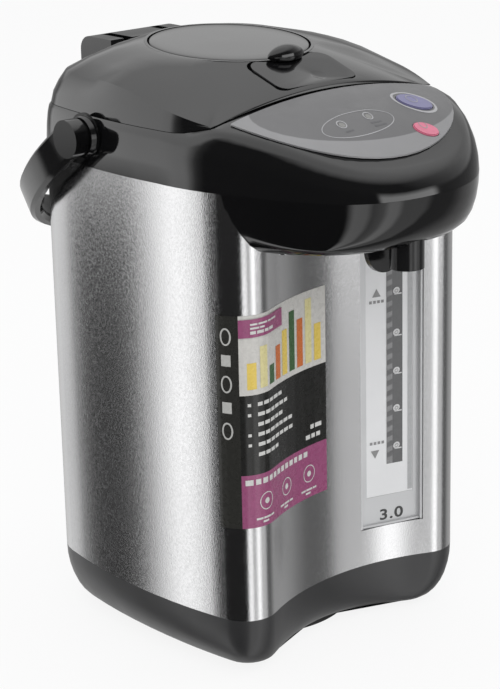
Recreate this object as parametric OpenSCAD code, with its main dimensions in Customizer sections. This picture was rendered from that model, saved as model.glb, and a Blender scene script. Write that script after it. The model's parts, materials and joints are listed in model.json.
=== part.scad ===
// Electric thermo pot, 3 litres. Millimetres, +Z up, the spout faces -Y.
// The origin lies on the floor, on the plane of symmetry, under the middle of the pot.

/* [Body] */
// Width of the steel body at its widest
body_w = 180; // [174:1:190]
// Reach of the two front corners from the origin
body_front = 80.4; // [78:0.2:86]
// Reach of the back wall from the origin
body_back = 92.3; // [90:0.1:95]
// Depth of the hollow in the front wall
front_dip = 15.2; // [12:0.2:17]
// Radius of the front corners
front_r = 17; // [15:0.5:19]
// Radius of the back corners
back_r = 31; // [28:0.5:34]
// Radius of the barrelled side walls
side_arc_r = 330; // [300:5:400]
// Bulge of the back wall between its corners
back_bulge = 3.5; // [2:0.25:5]
// Height of the seam between base and steel
base_h = 35; // [32:0.5:40]
// Height of the steel wall
steel_h = 228; // [222:1:240]
// Thickness of the steel wall
steel_t = 0.8; // [0.5:0.1:1.2]

/* [Base] */
// Height of the rubber foot ring
foot_h = 4; // [3:0.5:5]
// Outer radius of the rubber foot ring
foot_r = 56; // [54:0.5:57]
// How far the base draws in towards its floor
base_tuck = 17; // [12:0.5:20]
// Wall of the moulded plastic parts
plastic_t = 2.6; // [2:0.1:3]
// Radius of the service hole in the base floor
service_r = 45; // [40:1:46]
// Thickness of the bottom cover
cover_t = 2.2; // [1.8:0.1:2.4]
// Width of the rubber foot ring
foot_w = 5; // [3:0.5:5.5]

/* [Tank] */
// Inner radius of the water tank
tank_r = 67; // [64:0.5:68]
// Inner height of the water tank
tank_depth = 209; // [200:1:210]
// Wall of the water tank
tank_t = 0.8; // [0.6:0.1:1]
// Radius of the tank's filling mouth
mouth_r = 56; // [54:0.5:57]
// Distance of the tank axis behind the origin
tank_y = 7; // [6.5:0.1:8]

/* [Electric pump] */
// Radius of the pump housing
pump_r = 19; // [17:0.5:21]
// Radius of the pump motor
motor_r = 14; // [12:0.5:15]
// Height of the pump motor
motor_h = 22; // [18:0.5:23]
// Radius of the motor shaft
shaft_r = 1.25; // [1:0.05:1.6]
// Running clearance of shafts and pins
run_gap = 0.06; // [0.03:0.01:0.1]
// Wall of the water hoses
hose_t = 1.1; // [0.8:0.1:1.3]

/* [Gauge] */
// Distance of the gauge from the plane of symmetry
gauge_x = 35.7; // [34:0.1:37]
// Width of the gauge frame
gauge_w = 38; // [35:0.5:40]
// Height of the gauge frame's lower edge
gauge_low = 56; // [52:0.5:62]
// Height of the gauge frame's upper edge
gauge_high = 246; // [240:0.5:250]
// How deep the frame is set into the steel
gauge_recess = 1.6; // [1:0.1:2]
// Width of the clear strip
strip_w = 9.6; // [8:0.2:11]
// Height of the clear strip's lower end
strip_low = 92; // [86:0.5:98]
// Outer radius of the glass level tube
gauge_tube_r = 4.2; // [3.6:0.1:4.6]

/* [Beak and collar] */
// Reach of the beak from the origin
beak_reach = 137; // [133:0.5:141]
// Where the beak leaves the side walls, forward of the origin
beak_start = 30; // [28:0.5:34]
// Drop of the beak's seam from the body to its tip
seam_drop = 3; // [1:0.25:4]
// Height of the lid seam on the sides
rim_z = 289; // [287:0.5:292]
// Height of the top of the panel's dome, at the middle of the panel's back edge
dome_z = 301.5; // [299:0.1:303]
// Distance of the panel's back edge forward of the origin
panel_y = 64; // [62:0.5:66]
// Mean slope of the control board under the panel
panel_tilt = 17; // [15:0.5:18]
// Height of the beak's underside
beak_low = 232; // [230:0.5:235]

/* [Control panel] */
// Half the width of the control panel
fascia_w = 68.8; // [66:0.1:69.5]
// Length of the control panel in plan
fascia_len = 53.2; // [50:0.1:54]
// Bow of the panel's back edge
fascia_bow = 1.6; // [1:0.2:3]
// Thickness of the control panel
fascia_t = 0.8; // [0.6:0.1:1]
// Travel of the two buttons
button_travel = 1.2; // [0.8:0.1:1.5]
// Gap round the buttons
button_gap = 0.35; // [0.25:0.05:0.5]

/* [Spout] */
// Distance of the spout behind the tip of the beak
spout_back = 19; // [17.5:0.25:21]
// Outer radius of the spout nozzle
spout_r = 8.9; // [8:0.1:9.5]
// Bore radius of the spout nozzle
spout_bore = 5.2; // [4.5:0.1:5.6]
// Height of the spout's mouth
spout_low = 219.5; // [217:0.5:222]

/* [Lid] */
// Height of the pump disc's centre
disc_z = 318; // [317:0.25:320]
// Distance of the pump disc behind the origin
disc_y = 16; // [15:0.5:17]
// Radius of the pump disc
disc_r = 43; // [41:0.25:43.5]
// Forward slope of the pump disc
disc_tilt = 4.2; // [3:0.2:5]
// Gap round the pump disc
disc_gap = 0.8; // [0.7:0.05:1]
// Height of the shoulder above the seam on the lid's sides
shoulder_h = 19; // [17:0.5:20]
// Height of the lid's front wall
lid_front_h = 2.4; // [2:0.1:3]
// Radius of the lid's hinge pin
hinge_pin_r = 2; // [1.6:0.1:2.4]

/* [Latch] */
// Half the width of the latch flap
flap_w = 26.7; // [25:0.1:27.5]
// Slope of the latch flap
flap_tilt = 18.5; // [17.5:0.25:19]
// Thickness of the latch flap
flap_t = 2.4; // [2:0.1:2.8]
// Gap round the latch flap
flap_gap = 0.5; // [0.4:0.05:0.6]
// Lift of the latch flap in degrees
flap_lift = 18; // [12:1:19]
// Travel of the latch bolt
bolt_travel = 3.9; // [3:0.1:4.4]
// Sideways travel of the lock knob
lock_travel = 4; // [3:0.5:5]

/* [Handle] */
// Reach of the bail handle from its pivots
handle_reach = 124; // [118:0.5:128]
// Droop of the handle at rest in degrees
handle_droop = 35; // [30:0.5:38]
// Distance of the pivots behind the origin
pivot_y = 26; // [24:0.5:29]
// Height of the pivots
pivot_z = 279.5; // [277:0.5:281]
// Width of the handle strap
strap_w = 19; // [17:0.5:21]
// Thickness of the handle strap
strap_t = 7; // [6:0.25:8]
// Radius of the handle pins
handle_pin_r = 4; // [3.5:0.1:5]

/* [Hidden] */
spout_y = beak_reach - spout_back;
$fn = 48;

steel_top = base_h + steel_h;
seam_gap = 0.1;
flat_gap = 0.15;
touch = 0.03;

// ---- plan outline of the body, as true arcs sampled at a fixed number of points ----
side_mid = 6;
side_cx = body_w / 2 - side_arc_r;
front_cy = -body_front + front_r;
front_cx = side_cx + sqrt(pow(side_arc_r - front_r, 2) - pow(side_mid - front_cy, 2));
hollow_r = (pow(front_cx, 2) + pow(front_dip, 2)) / (2 * front_dip) - front_r;
hollow_cy = -body_front + front_dip - hollow_r;
hollow_a = asin(front_cx / (hollow_r + front_r));
back_cy = body_back - back_r - back_bulge;
back_cx = side_cx + sqrt(pow(side_arc_r - back_r, 2) - pow(back_cy - side_mid, 2));
back_e = back_r + back_bulge;
back_arc_r = (pow(back_cx, 2) + pow(back_e, 2) - pow(back_r, 2)) / (2 * (back_e - back_r));
back_arc_cy = body_back - back_arc_r;
side_front_a = atan2(front_cy - side_mid, front_cx - side_cx);
side_beak_a = asin((-beak_start - side_mid) / side_arc_r);
side_back_a = atan2(back_cy - side_mid, back_cx - side_cx);
back_corner_a = atan2(back_cy - back_arc_cy, back_cx);
beak_half_w = side_cx + side_arc_r * cos(side_beak_a);

function arc(cx, cy, r, a0, a1, n) =
  [for (i = [0:n]) let (a = a0 + (a1 - a0) * i / n) [cx + r * cos(a), cy + r * sin(a)]];
function tail(v) = [for (i = [1:len(v) - 1]) v[i]];
function flat(v) = [for (a = v) for (b = a) b];
function clamp01(s) = max(0, min(1, s));
function smooth(s) = let (c = clamp01(s)) c * c * (3 - 2 * c);
function mix(a, b, s) = a + (b - a) * s;
function inset(p, d) = p * (1 - d / norm(p));

// right half of the body's front, from the middle to where the beak starts: 21 points
body_front_half = concat(
  arc(0, hollow_cy, hollow_r, 90, 90 - hollow_a, 7),
  tail(arc(front_cx, front_cy, front_r, -90 - hollow_a, side_front_a, 9)),
  tail(arc(side_cx, side_mid, side_arc_r, side_front_a, side_beak_a, 4)));
// right half of the body's side and back: 18 points
body_rear_half = concat(
  tail(arc(side_cx, side_mid, side_arc_r, side_beak_a, side_back_a, 6)),
  tail(arc(back_cx, back_cy, back_r, side_back_a, back_corner_a, 7)),
  tail(arc(0, back_arc_cy, back_arc_r, back_corner_a, 90, 5)));
body_half = concat(body_front_half, body_rear_half);

// a closed ring from a right half: the half itself, then its mirror image back to the front
function whole(half) =
  concat(half, [for (i = [len(half) - 2:-1:1]) [-half[i].x, half[i].y]]);
function whole3(half) =
  concat(half, [for (i = [len(half) - 2:-1:1]) [-half[i].x, half[i].y, half[i].z]]);
function body_outline(d = 0) = [for (p = whole(body_half)) inset(p, d)];

// ---- skins: rings run anticlockwise seen from above, the outside first and upwards ----
module skin(rings) {
  n = len(rings[0]);
  m = len(rings);
  sides = [for (i = [0:m - 2]) for (j = [0:n - 1]) let (k = (j + 1) % n)
            each [[i * n + j, (i + 1) * n + j, (i + 1) * n + k],
              [i * n + j, (i + 1) * n + k, i * n + k]]];
  low = [for (j = [0:n - 1]) j];
  high = [for (j = [n - 1:-1:0]) (m - 1) * n + j];
  polyhedron(points = flat(rings), faces = concat([low], sides, [high]), convexity = 8);
}
module loop_skin(rings) {
  n = len(rings[0]);
  m = len(rings);
  polyhedron(points = flat(rings), convexity = 8,
    faces = [for (i = [0:m - 1]) for (j = [0:n - 1]) let (k = (j + 1) % n, u = (i + 1) % m)
              each [[i * n + j, u * n + j, u * n + k], [i * n + j, u * n + k, i * n + k]]]);
}
module tube(r_out, r_in, h) {
  difference() {
    cylinder(r = r_out, h = h);
    translate([0, 0, -1]) cylinder(r = r_in, h = h + 2);
  }
}
// a hose along a list of points, its bends rounded, as one closed skin: outside there, inside back
hose_sides = 14;
bend_steps = 4;
function unit(v) = v / norm(v);
function bend_cut(a, b) = min(8, norm(b - a) / 2.2);
function hose_path(q) = let (m = len(q) - 1) concat([q[0]],
  [for (i = [1:m - 1]) let (a = q[i] + unit(q[i - 1] - q[i]) * bend_cut(q[i - 1], q[i]),
                            b = q[i] + unit(q[i + 1] - q[i]) * bend_cut(q[i], q[i + 1]))
     for (k = [0:bend_steps]) let (t = k / bend_steps) a * pow(1 - t, 2) + q[i] * 2 * t * (1 - t) + b * t * t],
  [q[m]]);
function hose_ring(q, i, r, ref) =
  let (d = unit(q[min(i + 1, len(q) - 1)] - q[max(i - 1, 0)]), u = unit(cross(ref, d)), v = cross(d, u))
  [for (j = [0:hose_sides - 1]) let (a = 360 * j / hose_sides) q[i] + u * r * cos(a) + v * r * sin(a)];
module hose(points, r_in, r_out, ref) {
  q = hose_path(points);
  m = len(q) - 1;
  loop_skin(concat([for (i = [0:m]) hose_ring(q, i, r_out, ref)],
                   [for (i = [m:-1:0]) hose_ring(q, i, r_in / cos(180 / hose_sides), ref)]));
}
module screw(r, head_r, length, head_h) {
  cylinder(r = r, h = length);
  translate([0, 0, -head_h]) difference() {
    cylinder(r = head_r, h = head_h);
    for (a = [0, 90]) rotate(a) translate([-head_r * 0.6, -0.5, -0.1])
      cube([head_r * 1.2, 1, head_h * 0.5]);
  }
}

// ---- base ----
base_steps = 8;
function base_ring(a, d) =
  let (z = base_h - (base_h - foot_h) * sin(a))
  [for (p = body_outline(base_tuck * (1 - cos(a)) + d)) [p.x, p.y, z]];
base_floor_t = plastic_t;
foot_peg_r = 1.55;
foot_angles = [45, 135, 225, 315];
module foot_place(a)
  translate([(foot_r - foot_w / 2) * cos(a), service_y + (foot_r - foot_w / 2) * sin(a), 0]) children();
cover_lip = 5;
cover_screw_ring = service_r + cover_lip / 2 - 0.3;
cover_screw_angles = [20, 160, 200, 340];
service_y = tank_y;

module base_pan() color([0.09, 0.09, 0.1]) {
  difference() {
    skin(concat(
      [for (i = [base_steps:-1:0]) base_ring(90 * i / base_steps, 0)],
      [for (i = [0:2:base_steps]) [for (p = base_ring(90 * i / base_steps, plastic_t))
        [p.x, p.y, max(p.z, foot_h + base_floor_t)]]]));
    translate([0, service_y, 0]) cylinder(r = service_r, h = base_h);
    inlet_space(0.2);
    for (a = foot_angles) foot_place(a) cylinder(r = foot_peg_r + 0.05, h = foot_h + base_floor_t + 1);
    for (a = cover_screw_angles) cover_screw_place(a) cylinder(r = 1.3, h = foot_h + base_floor_t + 1);
  }
}
module cover_screw_place(a)
  translate([cover_screw_ring * cos(a), service_y + cover_screw_ring * sin(a), 0]) children();

vent_count = 6;
module bottom_cover() color([0.12, 0.12, 0.13]) {
  translate([0, service_y, 0]) difference() {
    union() {
      translate([0, 0, foot_h - cover_t]) cylinder(r = service_r + cover_lip, h = cover_t);
      for (a = standoff_angles) rotate(a) translate([motor_r + 4, 0, foot_h - 1])
        cylinder(r = 3, h = motor_seat_z - foot_h + 1);
      for (p = board_posts) translate([p.x, p.y, foot_h - 1]) cylinder(r = 3, h = board_z - foot_h + 1);
    }
    for (i = [0:vent_count - 1])
      translate([22, -16 + 6 * i, foot_h - cover_t - 1]) cube([17, 2.4, cover_t + 2]);
    for (a = cover_screw_angles)
      translate([cover_screw_ring * cos(a), cover_screw_ring * sin(a), 0]) cylinder(r = 1.7, h = base_h);
    for (p = board_posts) translate([p.x, p.y, foot_h]) cylinder(r = 1.2, h = base_h);
  }
}
module foot_ring() color([0.05, 0.05, 0.05]) {
  translate([0, service_y, 0]) rotate_extrude($fn = 96) polygon([[foot_r - foot_w + 0.5, 0],
    [foot_r - 0.5, 0],
    [foot_r, 0.5], [foot_r, foot_h], [foot_r - foot_w, foot_h], [foot_r - foot_w, 0.5]]);
  for (a = foot_angles) foot_place(a) {
    translate([0, 0, 1]) cylinder(r = foot_peg_r, h = foot_h + base_floor_t - 1);
    translate([0, 0, foot_h + base_floor_t]) cylinder(r1 = 2.4, r2 = 1.6, h = 2);
  }
}
module base_screws() color([0.6, 0.6, 0.62])
  for (a = cover_screw_angles) cover_screw_place(a)
    translate([0, 0, foot_h - cover_t]) screw(1.3, 2.8, cover_t + base_floor_t + 4, 1.4);

// ---- power inlet in the back of the base ----
inlet_w = 34;
inlet_h = 20;
inlet_z = 17;
inlet_depth = 20;
inlet_y = body_back - 6;
inlet_pin_gap = 7;
module inlet_space(d)
  translate([-inlet_w / 2 - d, inlet_y - inlet_depth - d, inlet_z - inlet_h / 2 - d])
    cube([inlet_w + 2 * d, inlet_depth + 30, inlet_h + 2 * d]);
module power_inlet() color([0.03, 0.03, 0.03]) difference() {
  union() {
    translate([-inlet_w / 2, inlet_y - inlet_depth, inlet_z - inlet_h / 2])
      cube([inlet_w, inlet_depth, inlet_h]);
    translate([-12, inlet_y - 17, foot_h + base_floor_t]) cube([24, 8, 2]);
  }
  translate([-inlet_w / 2 + 3, inlet_y - inlet_depth + 4, inlet_z - inlet_h / 2 + 3])
    cube([inlet_w - 6, inlet_depth, inlet_h - 6]);
  for (s = [-1, 0, 1]) translate([s * inlet_pin_gap, inlet_y - inlet_depth - 1, inlet_z])
    rotate([-90, 0, 0]) cylinder(r = 1.5, h = 6);
}
module inlet_pins() color([0.75, 0.72, 0.6])
  for (s = [-1, 0, 1]) translate([s * inlet_pin_gap, inlet_y - inlet_depth - 5, inlet_z])
    rotate([-90, 0, 0]) cylinder(r = 1.5, h = 19);

// ---- power board on the bottom cover ----
board_z = 11;
board_t = 1.6;
board_x0 = -43;
board_w = 23;
board_y0 = -19;
board_l = 38;
board_posts = [for (x = [board_x0 + 4, board_x0 + board_w - 4])
  for (y = [board_y0 + 4, board_y0 + board_l - 4]) [x, y]];
module power_board() translate([0, service_y, 0]) {
  color([0.1, 0.35, 0.18]) difference() {
    translate([board_x0, board_y0, board_z]) cube([board_w, board_l, board_t]);
    for (p = board_posts) translate([p.x, p.y, board_z - 1]) cylinder(r = 1.4, h = board_t + 2);
  }
  color([0.15, 0.2, 0.6]) translate([board_x0 + 7, board_y0 + 8, board_z + board_t]) cube([12, 13, 12]);
  color([0.1, 0.1, 0.1]) translate([board_x0 + 12, board_y0 + 32, board_z + board_t])
    cylinder(r = 5.5, h = 14);
  color([0.7, 0.6, 0.2]) translate([board_x0 + 5, board_y0 + 26, board_z + board_t]) cube([5, 10, 8]);
}

// ---- steel shell with the gauge window ----
strip_x = 1.6;
gauge_a = -asin(gauge_x / hollow_r);
gauge_wall_y = hollow_cy + hollow_r * cos(gauge_a);
module at_gauge() translate([gauge_x, gauge_wall_y, 0]) rotate(gauge_a) children();
window_gap = 0.25;
module steel_shell() color([0.72, 0.72, 0.73]) difference() {
  translate([0, 0, base_h]) linear_extrude(height = steel_h, convexity = 6) difference() {
    polygon(body_outline());
    polygon(body_outline(steel_t));
  }
  at_gauge() translate([-gauge_w / 2 - window_gap, -8, gauge_low - window_gap])
    cube([gauge_w + 2 * window_gap, 16, gauge_high - gauge_low + 2 * window_gap]);
}

// ---- inner tank hanging from the mouth deck ----
deck_t = 3.5;
deck_z = steel_top - deck_t;
flange_t = 0.8;
flange_r = tank_r + 4;
tank_floor = deck_z - flange_t - tank_depth;
port_r = 5;
tank_corner = 9;
module inner_tank() color([0.78, 0.78, 0.8]) translate([0, tank_y, 0]) difference() {
  union() {
    rotate_extrude($fn = 96) tank_profile(tank_r + tank_t, tank_floor - tank_t, tank_corner + tank_t);
    translate([0, 0, deck_z - flange_t]) cylinder(r = flange_r, h = flange_t, $fn = 96);
    translate([0, 0, tank_floor - tank_t - 7]) cylinder(r = port_r, h = 7.4);
  }
  rotate_extrude($fn = 96) tank_profile(tank_r, tank_floor, tank_corner);
  translate([0, 0, deck_z - flange_t - 1]) cylinder(r = tank_r, h = 3, $fn = 96);
  translate([0, 0, tank_floor - 10]) cylinder(r = port_r - 0.8, h = 12);
}
module tank_profile(r, z0, corner) polygon(concat(
  [[0, z0]],
  arc(r - corner, z0 + corner, corner, -90, 0, 6),
  [[r, deck_z - flange_t], [0, deck_z - flange_t]]));

gauge_tube_depth = 10;
gauge_tube_x = gauge_x + strip_x * cos(gauge_a) - gauge_tube_depth * sin(gauge_a);
gauge_tube_y = gauge_wall_y + strip_x * sin(gauge_a) + gauge_tube_depth * cos(gauge_a);
deck_inset = steel_t + 0.4;
deck_lip = 3;
module mouth_deck() color([0.1, 0.1, 0.11]) difference() {
  union() {
    translate([0, 0, deck_z]) linear_extrude(height = deck_t) polygon(body_outline(deck_inset));
    translate([0, tank_y, steel_top - 0.01]) cylinder(r = mouth_r + deck_lip, h = 2.01, $fn = 96);
  }
  translate([0, tank_y, deck_z - 5]) cylinder(r = mouth_r, h = 20, $fn = 96);
  translate([gauge_tube_x, gauge_tube_y, deck_z - 5]) cylinder(r = hose_out + 0.3, h = 20);
  for (p = deck_screws) translate([p.x, p.y, deck_z - 5]) cylinder(r = 1.7, h = 20);
}
deck_screws = [[-79.5, -38], [79.5, -38], [-80.5, 42], [80.5, 42]];
module collar_screws() color([0.6, 0.6, 0.62])
  for (p = deck_screws) translate([p.x, p.y, deck_z]) screw(1.4, 2.8, deck_t + 6, 1.6);
module tank_gasket() color([0.75, 0.75, 0.72]) translate([0, tank_y, deck_z - flange_t - 2.2])
  tube(flange_r - 0.3, tank_r + tank_t + touch, 2.2, $fn = 96);

// ---- heater and its guards under the tank ----
heater_t = 3.4;
heater_r_out = 52;
heater_r_in = 26;
heater_z = tank_floor - tank_t - heater_t;
module heater_plate() color([0.65, 0.65, 0.63]) translate([0, tank_y, heater_z]) {
  tube(heater_r_out, heater_r_in, heater_t, $fn = 72);
  for (a = [130, 230]) rotate(a) translate([40, 0, -7]) cylinder(r = 2.2, h = 7.2);
}
bracket_t = 1.5;
module heater_bracket() color([0.6, 0.6, 0.6]) translate([0, tank_y, heater_z - bracket_t]) difference() {
  union() {
    translate([-48, -5, 0]) cube([96, 10, bracket_t]);
    cylinder(r = pump_r + 11, h = bracket_t);
  }
  translate([0, 0, -5]) cylinder(r = pump_r + 3, h = 12);
}
module thermostats() color([0.85, 0.82, 0.75])
  for (a = [60, -60]) translate([0, tank_y, 0]) rotate(a) translate([39, 0, heater_z - 9]) {
    cylinder(r = 8, h = 9);
    translate([0, 0, -2.5]) cylinder(r = 5.5, h = 2.5);
    for (s = [-1, 1]) translate([s * 4 - 0.4, -2.5, -7]) cube([0.8, 5, 5]);
  }
module thermal_fuse() color([0.85, 0.85, 0.85])
  translate([-38, tank_y - 20, heater_z - 3.2]) rotate([0, 90, 0]) {
    translate([0, 0, 0]) cylinder(r = 3.2, h = 14);
    translate([0, 0, -6]) cylinder(r = 0.7, h = 26, $fn = 16);
  }

// ---- electric pump ----
motor_seat_z = foot_h + 3;
standoff_angles = [45, 135, 225, 315];
motor_flange_t = 1.6;
pump_z = motor_seat_z + motor_flange_t + motor_h;
pump_h = 12;
pump_wall = 2;
inlet_seat = tank_floor - tank_t - 7;
module pump_motor() color([0.5, 0.5, 0.52]) translate([0, service_y, motor_seat_z]) difference() {
  union() {
    cylinder(r = motor_r + 7, h = motor_flange_t);
    translate([0, 0, motor_flange_t]) cylinder(r = motor_r, h = motor_h);
  }
  translate([0, 0, motor_h - 10]) cylinder(r = shaft_r + run_gap, h = 20);
}
module pump_housing() color([0.85, 0.85, 0.83]) translate([0, service_y, pump_z]) difference() {
  union() {
    cylinder(r = pump_r, h = pump_h);
    translate([0, 0, pump_h]) cylinder(r = port_r + 2.2, h = inlet_seat + 4 - pump_z - pump_h);
    translate([0, 0, pump_h / 2]) rotate([0, 90, 0]) cylinder(r = gauge_tube_r, h = pump_r + 9);
  }
  translate([0, 0, pump_wall]) cylinder(r = pump_r - pump_wall, h = pump_h - 2 * pump_wall);
  translate([0, 0, -1]) cylinder(r = shaft_r + run_gap, h = 5);
  translate([0, 0, pump_h - 3]) cylinder(r = port_r - 0.8, h = 10);
  translate([0, 0, inlet_seat - pump_z]) cylinder(r = port_r + 0.1, h = 10);
  translate([pump_r / 2, 0, pump_h / 2]) rotate([0, 90, 0])
    cylinder(r = gauge_tube_r - 1.4, h = pump_r + 9);
}
impeller_blades = 6;
module pump_impeller() color([0.9, 0.9, 0.9]) translate([0, service_y, pump_z]) {
  translate([0, 0, -11]) cylinder(r = shaft_r, h = 11 + pump_wall + 1);
  translate([0, 0, pump_wall + 0.6]) cylinder(r = pump_r - pump_wall - 2, h = 1.2);
  translate([0, 0, pump_wall + 0.6]) cylinder(r = 3, h = 4);
  for (i = [0:impeller_blades - 1]) rotate(360 / impeller_blades * i)
    translate([2, -0.5, pump_wall + 1.6]) cube([pump_r - pump_wall - 5, 1, 3.4]);
}
outlet_z = pump_z + pump_h / 2;
riser_low = 52;
hose_out = gauge_tube_r + touch + hose_t;
module outlet_hose() color([0.8, 0.8, 0.78])
  hose([[pump_r + 2.5, service_y, outlet_z], [pump_r + 24, service_y, outlet_z],
        [gauge_tube_x, gauge_tube_y, outlet_z], [gauge_tube_x, gauge_tube_y, riser_low]],
       gauge_tube_r + touch, hose_out, [1, 0.8, 0.9]);

// ---- gauge ----
gauge_tube_top = 244;
module gauge_tube() color([0.8, 0.9, 0.92, 0.5]) translate([gauge_tube_x, gauge_tube_y, riser_low - 7])
  tube(gauge_tube_r, gauge_tube_r - 1, gauge_tube_top - riser_low + 12);
tube_top_z = steel_top + 6.2;
module delivery_tube() color([0.8, 0.8, 0.78])
  hose([[gauge_tube_x, gauge_tube_y, gauge_tube_top - 4], [gauge_tube_x, gauge_tube_y, tube_top_z],
        [14, -88, tube_top_z - 2.5], [0, -spout_y, beak_low + 26], [0, -spout_y, spout_top - 9]],
       gauge_tube_r + touch, hose_out, [1, 0.2, 0.1]);
gauge_frame_t = 1.6;
gauge_flange = 3;
wall_back_y = -0.5;
gauge_h = gauge_high - gauge_low;
inner_w = 28.8;
inner_low = 73 - gauge_low;
module gauge_frame() color([0.55, 0.56, 0.58]) at_gauge() translate([0, 0, gauge_low]) difference() {
  union() {
    translate([-gauge_w / 2 - gauge_flange, gauge_recess, -gauge_flange])
      cube([gauge_w + 2 * gauge_flange, gauge_frame_t, gauge_h + 2 * gauge_flange]);
    for (s = [-1, 1]) translate([s * (gauge_w / 2 + 1.8) - 1.5, wall_back_y, 0]) cube([3, 3, gauge_h]);
    for (s = [-1, 1]) translate([s * (gauge_w / 2 - 0.6) - 0.6, -0.9, 0]) cube([1.2, 3, gauge_h]);
    for (z = [0, gauge_h - 1.2]) translate([-gauge_w / 2, 0.1, z]) cube([gauge_w, 2, 1.2]);
  }
  translate([-inner_w / 2, -2, inner_low]) cube([inner_w, 9, gauge_h - inner_low - 6]);
}
strip_high = 240;
module gauge_scale() color([0.8, 0.81, 0.82]) at_gauge() translate([0, gauge_recess + 0.9, gauge_low])
  difference() {
  translate([-inner_w / 2 + 0.1, 0, inner_low + 0.1]) cube([inner_w - 0.2, 1, gauge_h - inner_low - 6.2]);
  translate([strip_x - strip_w / 2, -1, strip_low - gauge_low])
    cube([strip_w, 4, strip_high - strip_low]);
}
module gauge_window() color([0.25, 0.27, 0.3, 0.6]) at_gauge()
  translate([0, gauge_recess + 0.1, gauge_low])
  translate([-inner_w / 2 + 0.1, 0, inner_low + 0.1])
    cube([inner_w - 0.2, 0.8, gauge_h - inner_low - 6.2]);
light_t = 1.2;
module gauge_light_board() color([0.85, 0.85, 0.8]) at_gauge()
  translate([0, gauge_recess + 1.9 + touch, 0]) {
    translate([strip_x + 8, 0, strip_low]) cube([8, light_t, strip_high - strip_low]);
    for (z = [strip_low + 8:24:strip_high - 8])
      translate([strip_x + 9, light_t - 0.1, z]) cube([3.5, 1.5, 3.5]);
  }

// ---- collar with the upper shell of the beak ----
side_lean = 3.6;
nose_e = 2.25;
flank_e = 1.85;
rim_nose_e = 2.35;
rim_flank_e = 1.45;
nose_round = 16.5;
rim_w = 4.5;
tip_i = 15;
tip_blend = 22;
front_n = 20;
dome_rise = 0.105;
dome_fall = 0.0066;
dome_side = 0.00151;
// the domed top of the beak: a shallow quadratic surface
function dome(x, y) =
  let (v = y + panel_y) dome_z + dome_rise * v - dome_fall * v * v - dome_side * x * x;
function seam_z(y) = steel_top - seam_drop * clamp01((-y - body_front) / (beak_reach - body_front));
// right half of a beak-shaped plan: a superellipse in front, the body's own sides behind
function beak_half(reach, w, e0, e1, d) = concat(
  [for (i = [0:front_n]) let (t = 90 * i / front_n, q = 2 / mix(e0, e1, t / 90))
    [w * pow(sin(t), q), -beak_start - (reach - beak_start) * pow(cos(t), q)]],
  [for (p = body_rear_half) inset(p, d)]);
rim_half = beak_half(beak_reach - nose_round, beak_half_w - side_lean, rim_nose_e, rim_flank_e, side_lean);
tip = rim_half[tip_i];
function top_z(x, y) = mix(dome(x, y), rim_z, smooth((y - tip.y) / tip_blend));
function lean(f) = 1 - sqrt(1 - f * f);
function collar_ring(f, d, drop) =
  let (s = lean(f), h = beak_half(beak_reach - d - nose_round * s, beak_half_w - d - side_lean * s,
                                  mix(nose_e, rim_nose_e, s),
                                    mix(flank_e, rim_flank_e, s), side_lean * s + d))
  whole3([for (i = [0:len(h) - 1]) let (p = h[i], r = rim_half[i])
    [p.x, p.y, mix(seam_z(p.y), top_z(r.x, r.y), f) - drop]]);
// the edge of the collar's mouth: the front line under the lid, then the inside of the rim
mouth_front_y = 56.8;
mouth_tip = [tip.x - 5.5, tip.y + 2.5];
function mouth_half() = concat(
  [for (i = [0:front_n]) i <= tip_i
    ? [mouth_tip.x * i / tip_i, mix(-mouth_front_y, mouth_tip.y, pow(i / tip_i, 2))]
    : let (s = (i - tip_i) / (front_n - tip_i))
      [mix(mouth_tip.x, beak_half_w - side_lean - rim_w, s), mix(mouth_tip.y, -beak_start, s)]],
  [for (p = body_rear_half) inset(p, side_lean + rim_w)]);
// a ring of the beak's top, from its outer edge (0) to the mouth (1)
function deck_ring(s, drop) = let (m = mouth_half()) whole3([for (i = [0:len(m) - 1])
  let (x = mix(rim_half[i].x, m[i].x, s), y = mix(rim_half[i].y, m[i].y, s)) [x, y, top_z(x, y) - drop]]);
post_join_z = 252;
post_r = 3.6;
module collar() color([0.07, 0.07, 0.08]) difference() {
  union() {
    loop_skin(concat(
      [for (f = [0, 0.3, 0.55, 0.78, 0.93]) collar_ring(f, 0, 0)],
      [for (k = [0:6]) deck_ring(k / 6, 0)],
      [for (k = [4:-1:1]) deck_ring(k / 4, plastic_t)],
      [collar_ring(0.94, plastic_t, plastic_t), collar_ring(0.6, plastic_t, 0), collar_ring(0, plastic_t, 0)]));
    for (p = deck_screws) translate([p.x, p.y, steel_top]) cylinder(r = 4.6, h = 10);
    for (p = beak_screw_places) translate([p.x, p.y, post_join_z])
      cylinder(r = post_r, h = dome(p.x, p.y) - 2.2 - post_join_z);
  }
  for (p = deck_screws) translate([p.x, p.y, steel_top - 1]) cylinder(r = 1.4, h = 8);
  for (p = beak_screw_places) translate([p.x, p.y, post_join_z - 1]) cylinder(r = 1.4, h = 8);
  button_space(blue_at, blue_turn, blue_size, button_gap + 0.1);
  button_space(red_at, red_turn, red_size, button_gap + 0.1);
  for (p = led_at) on_dome(p) translate([0, 0, -8]) cylinder(r = led_r + 0.15, h = 12);
  for (s = [-1, 1]) pivot_axis(s) translate([0, 0, -8]) cylinder(r = handle_pin_r + 0.02, h = 16);
}

// ---- control panel ----
function board_plane(y) = dome(fascia_w, -panel_y) + (y + panel_y) * tan(panel_tilt);
module at_panel() translate([0, -panel_y, dome(fascia_w, -panel_y)]) rotate([panel_tilt, 0, 0])
  children();
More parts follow.
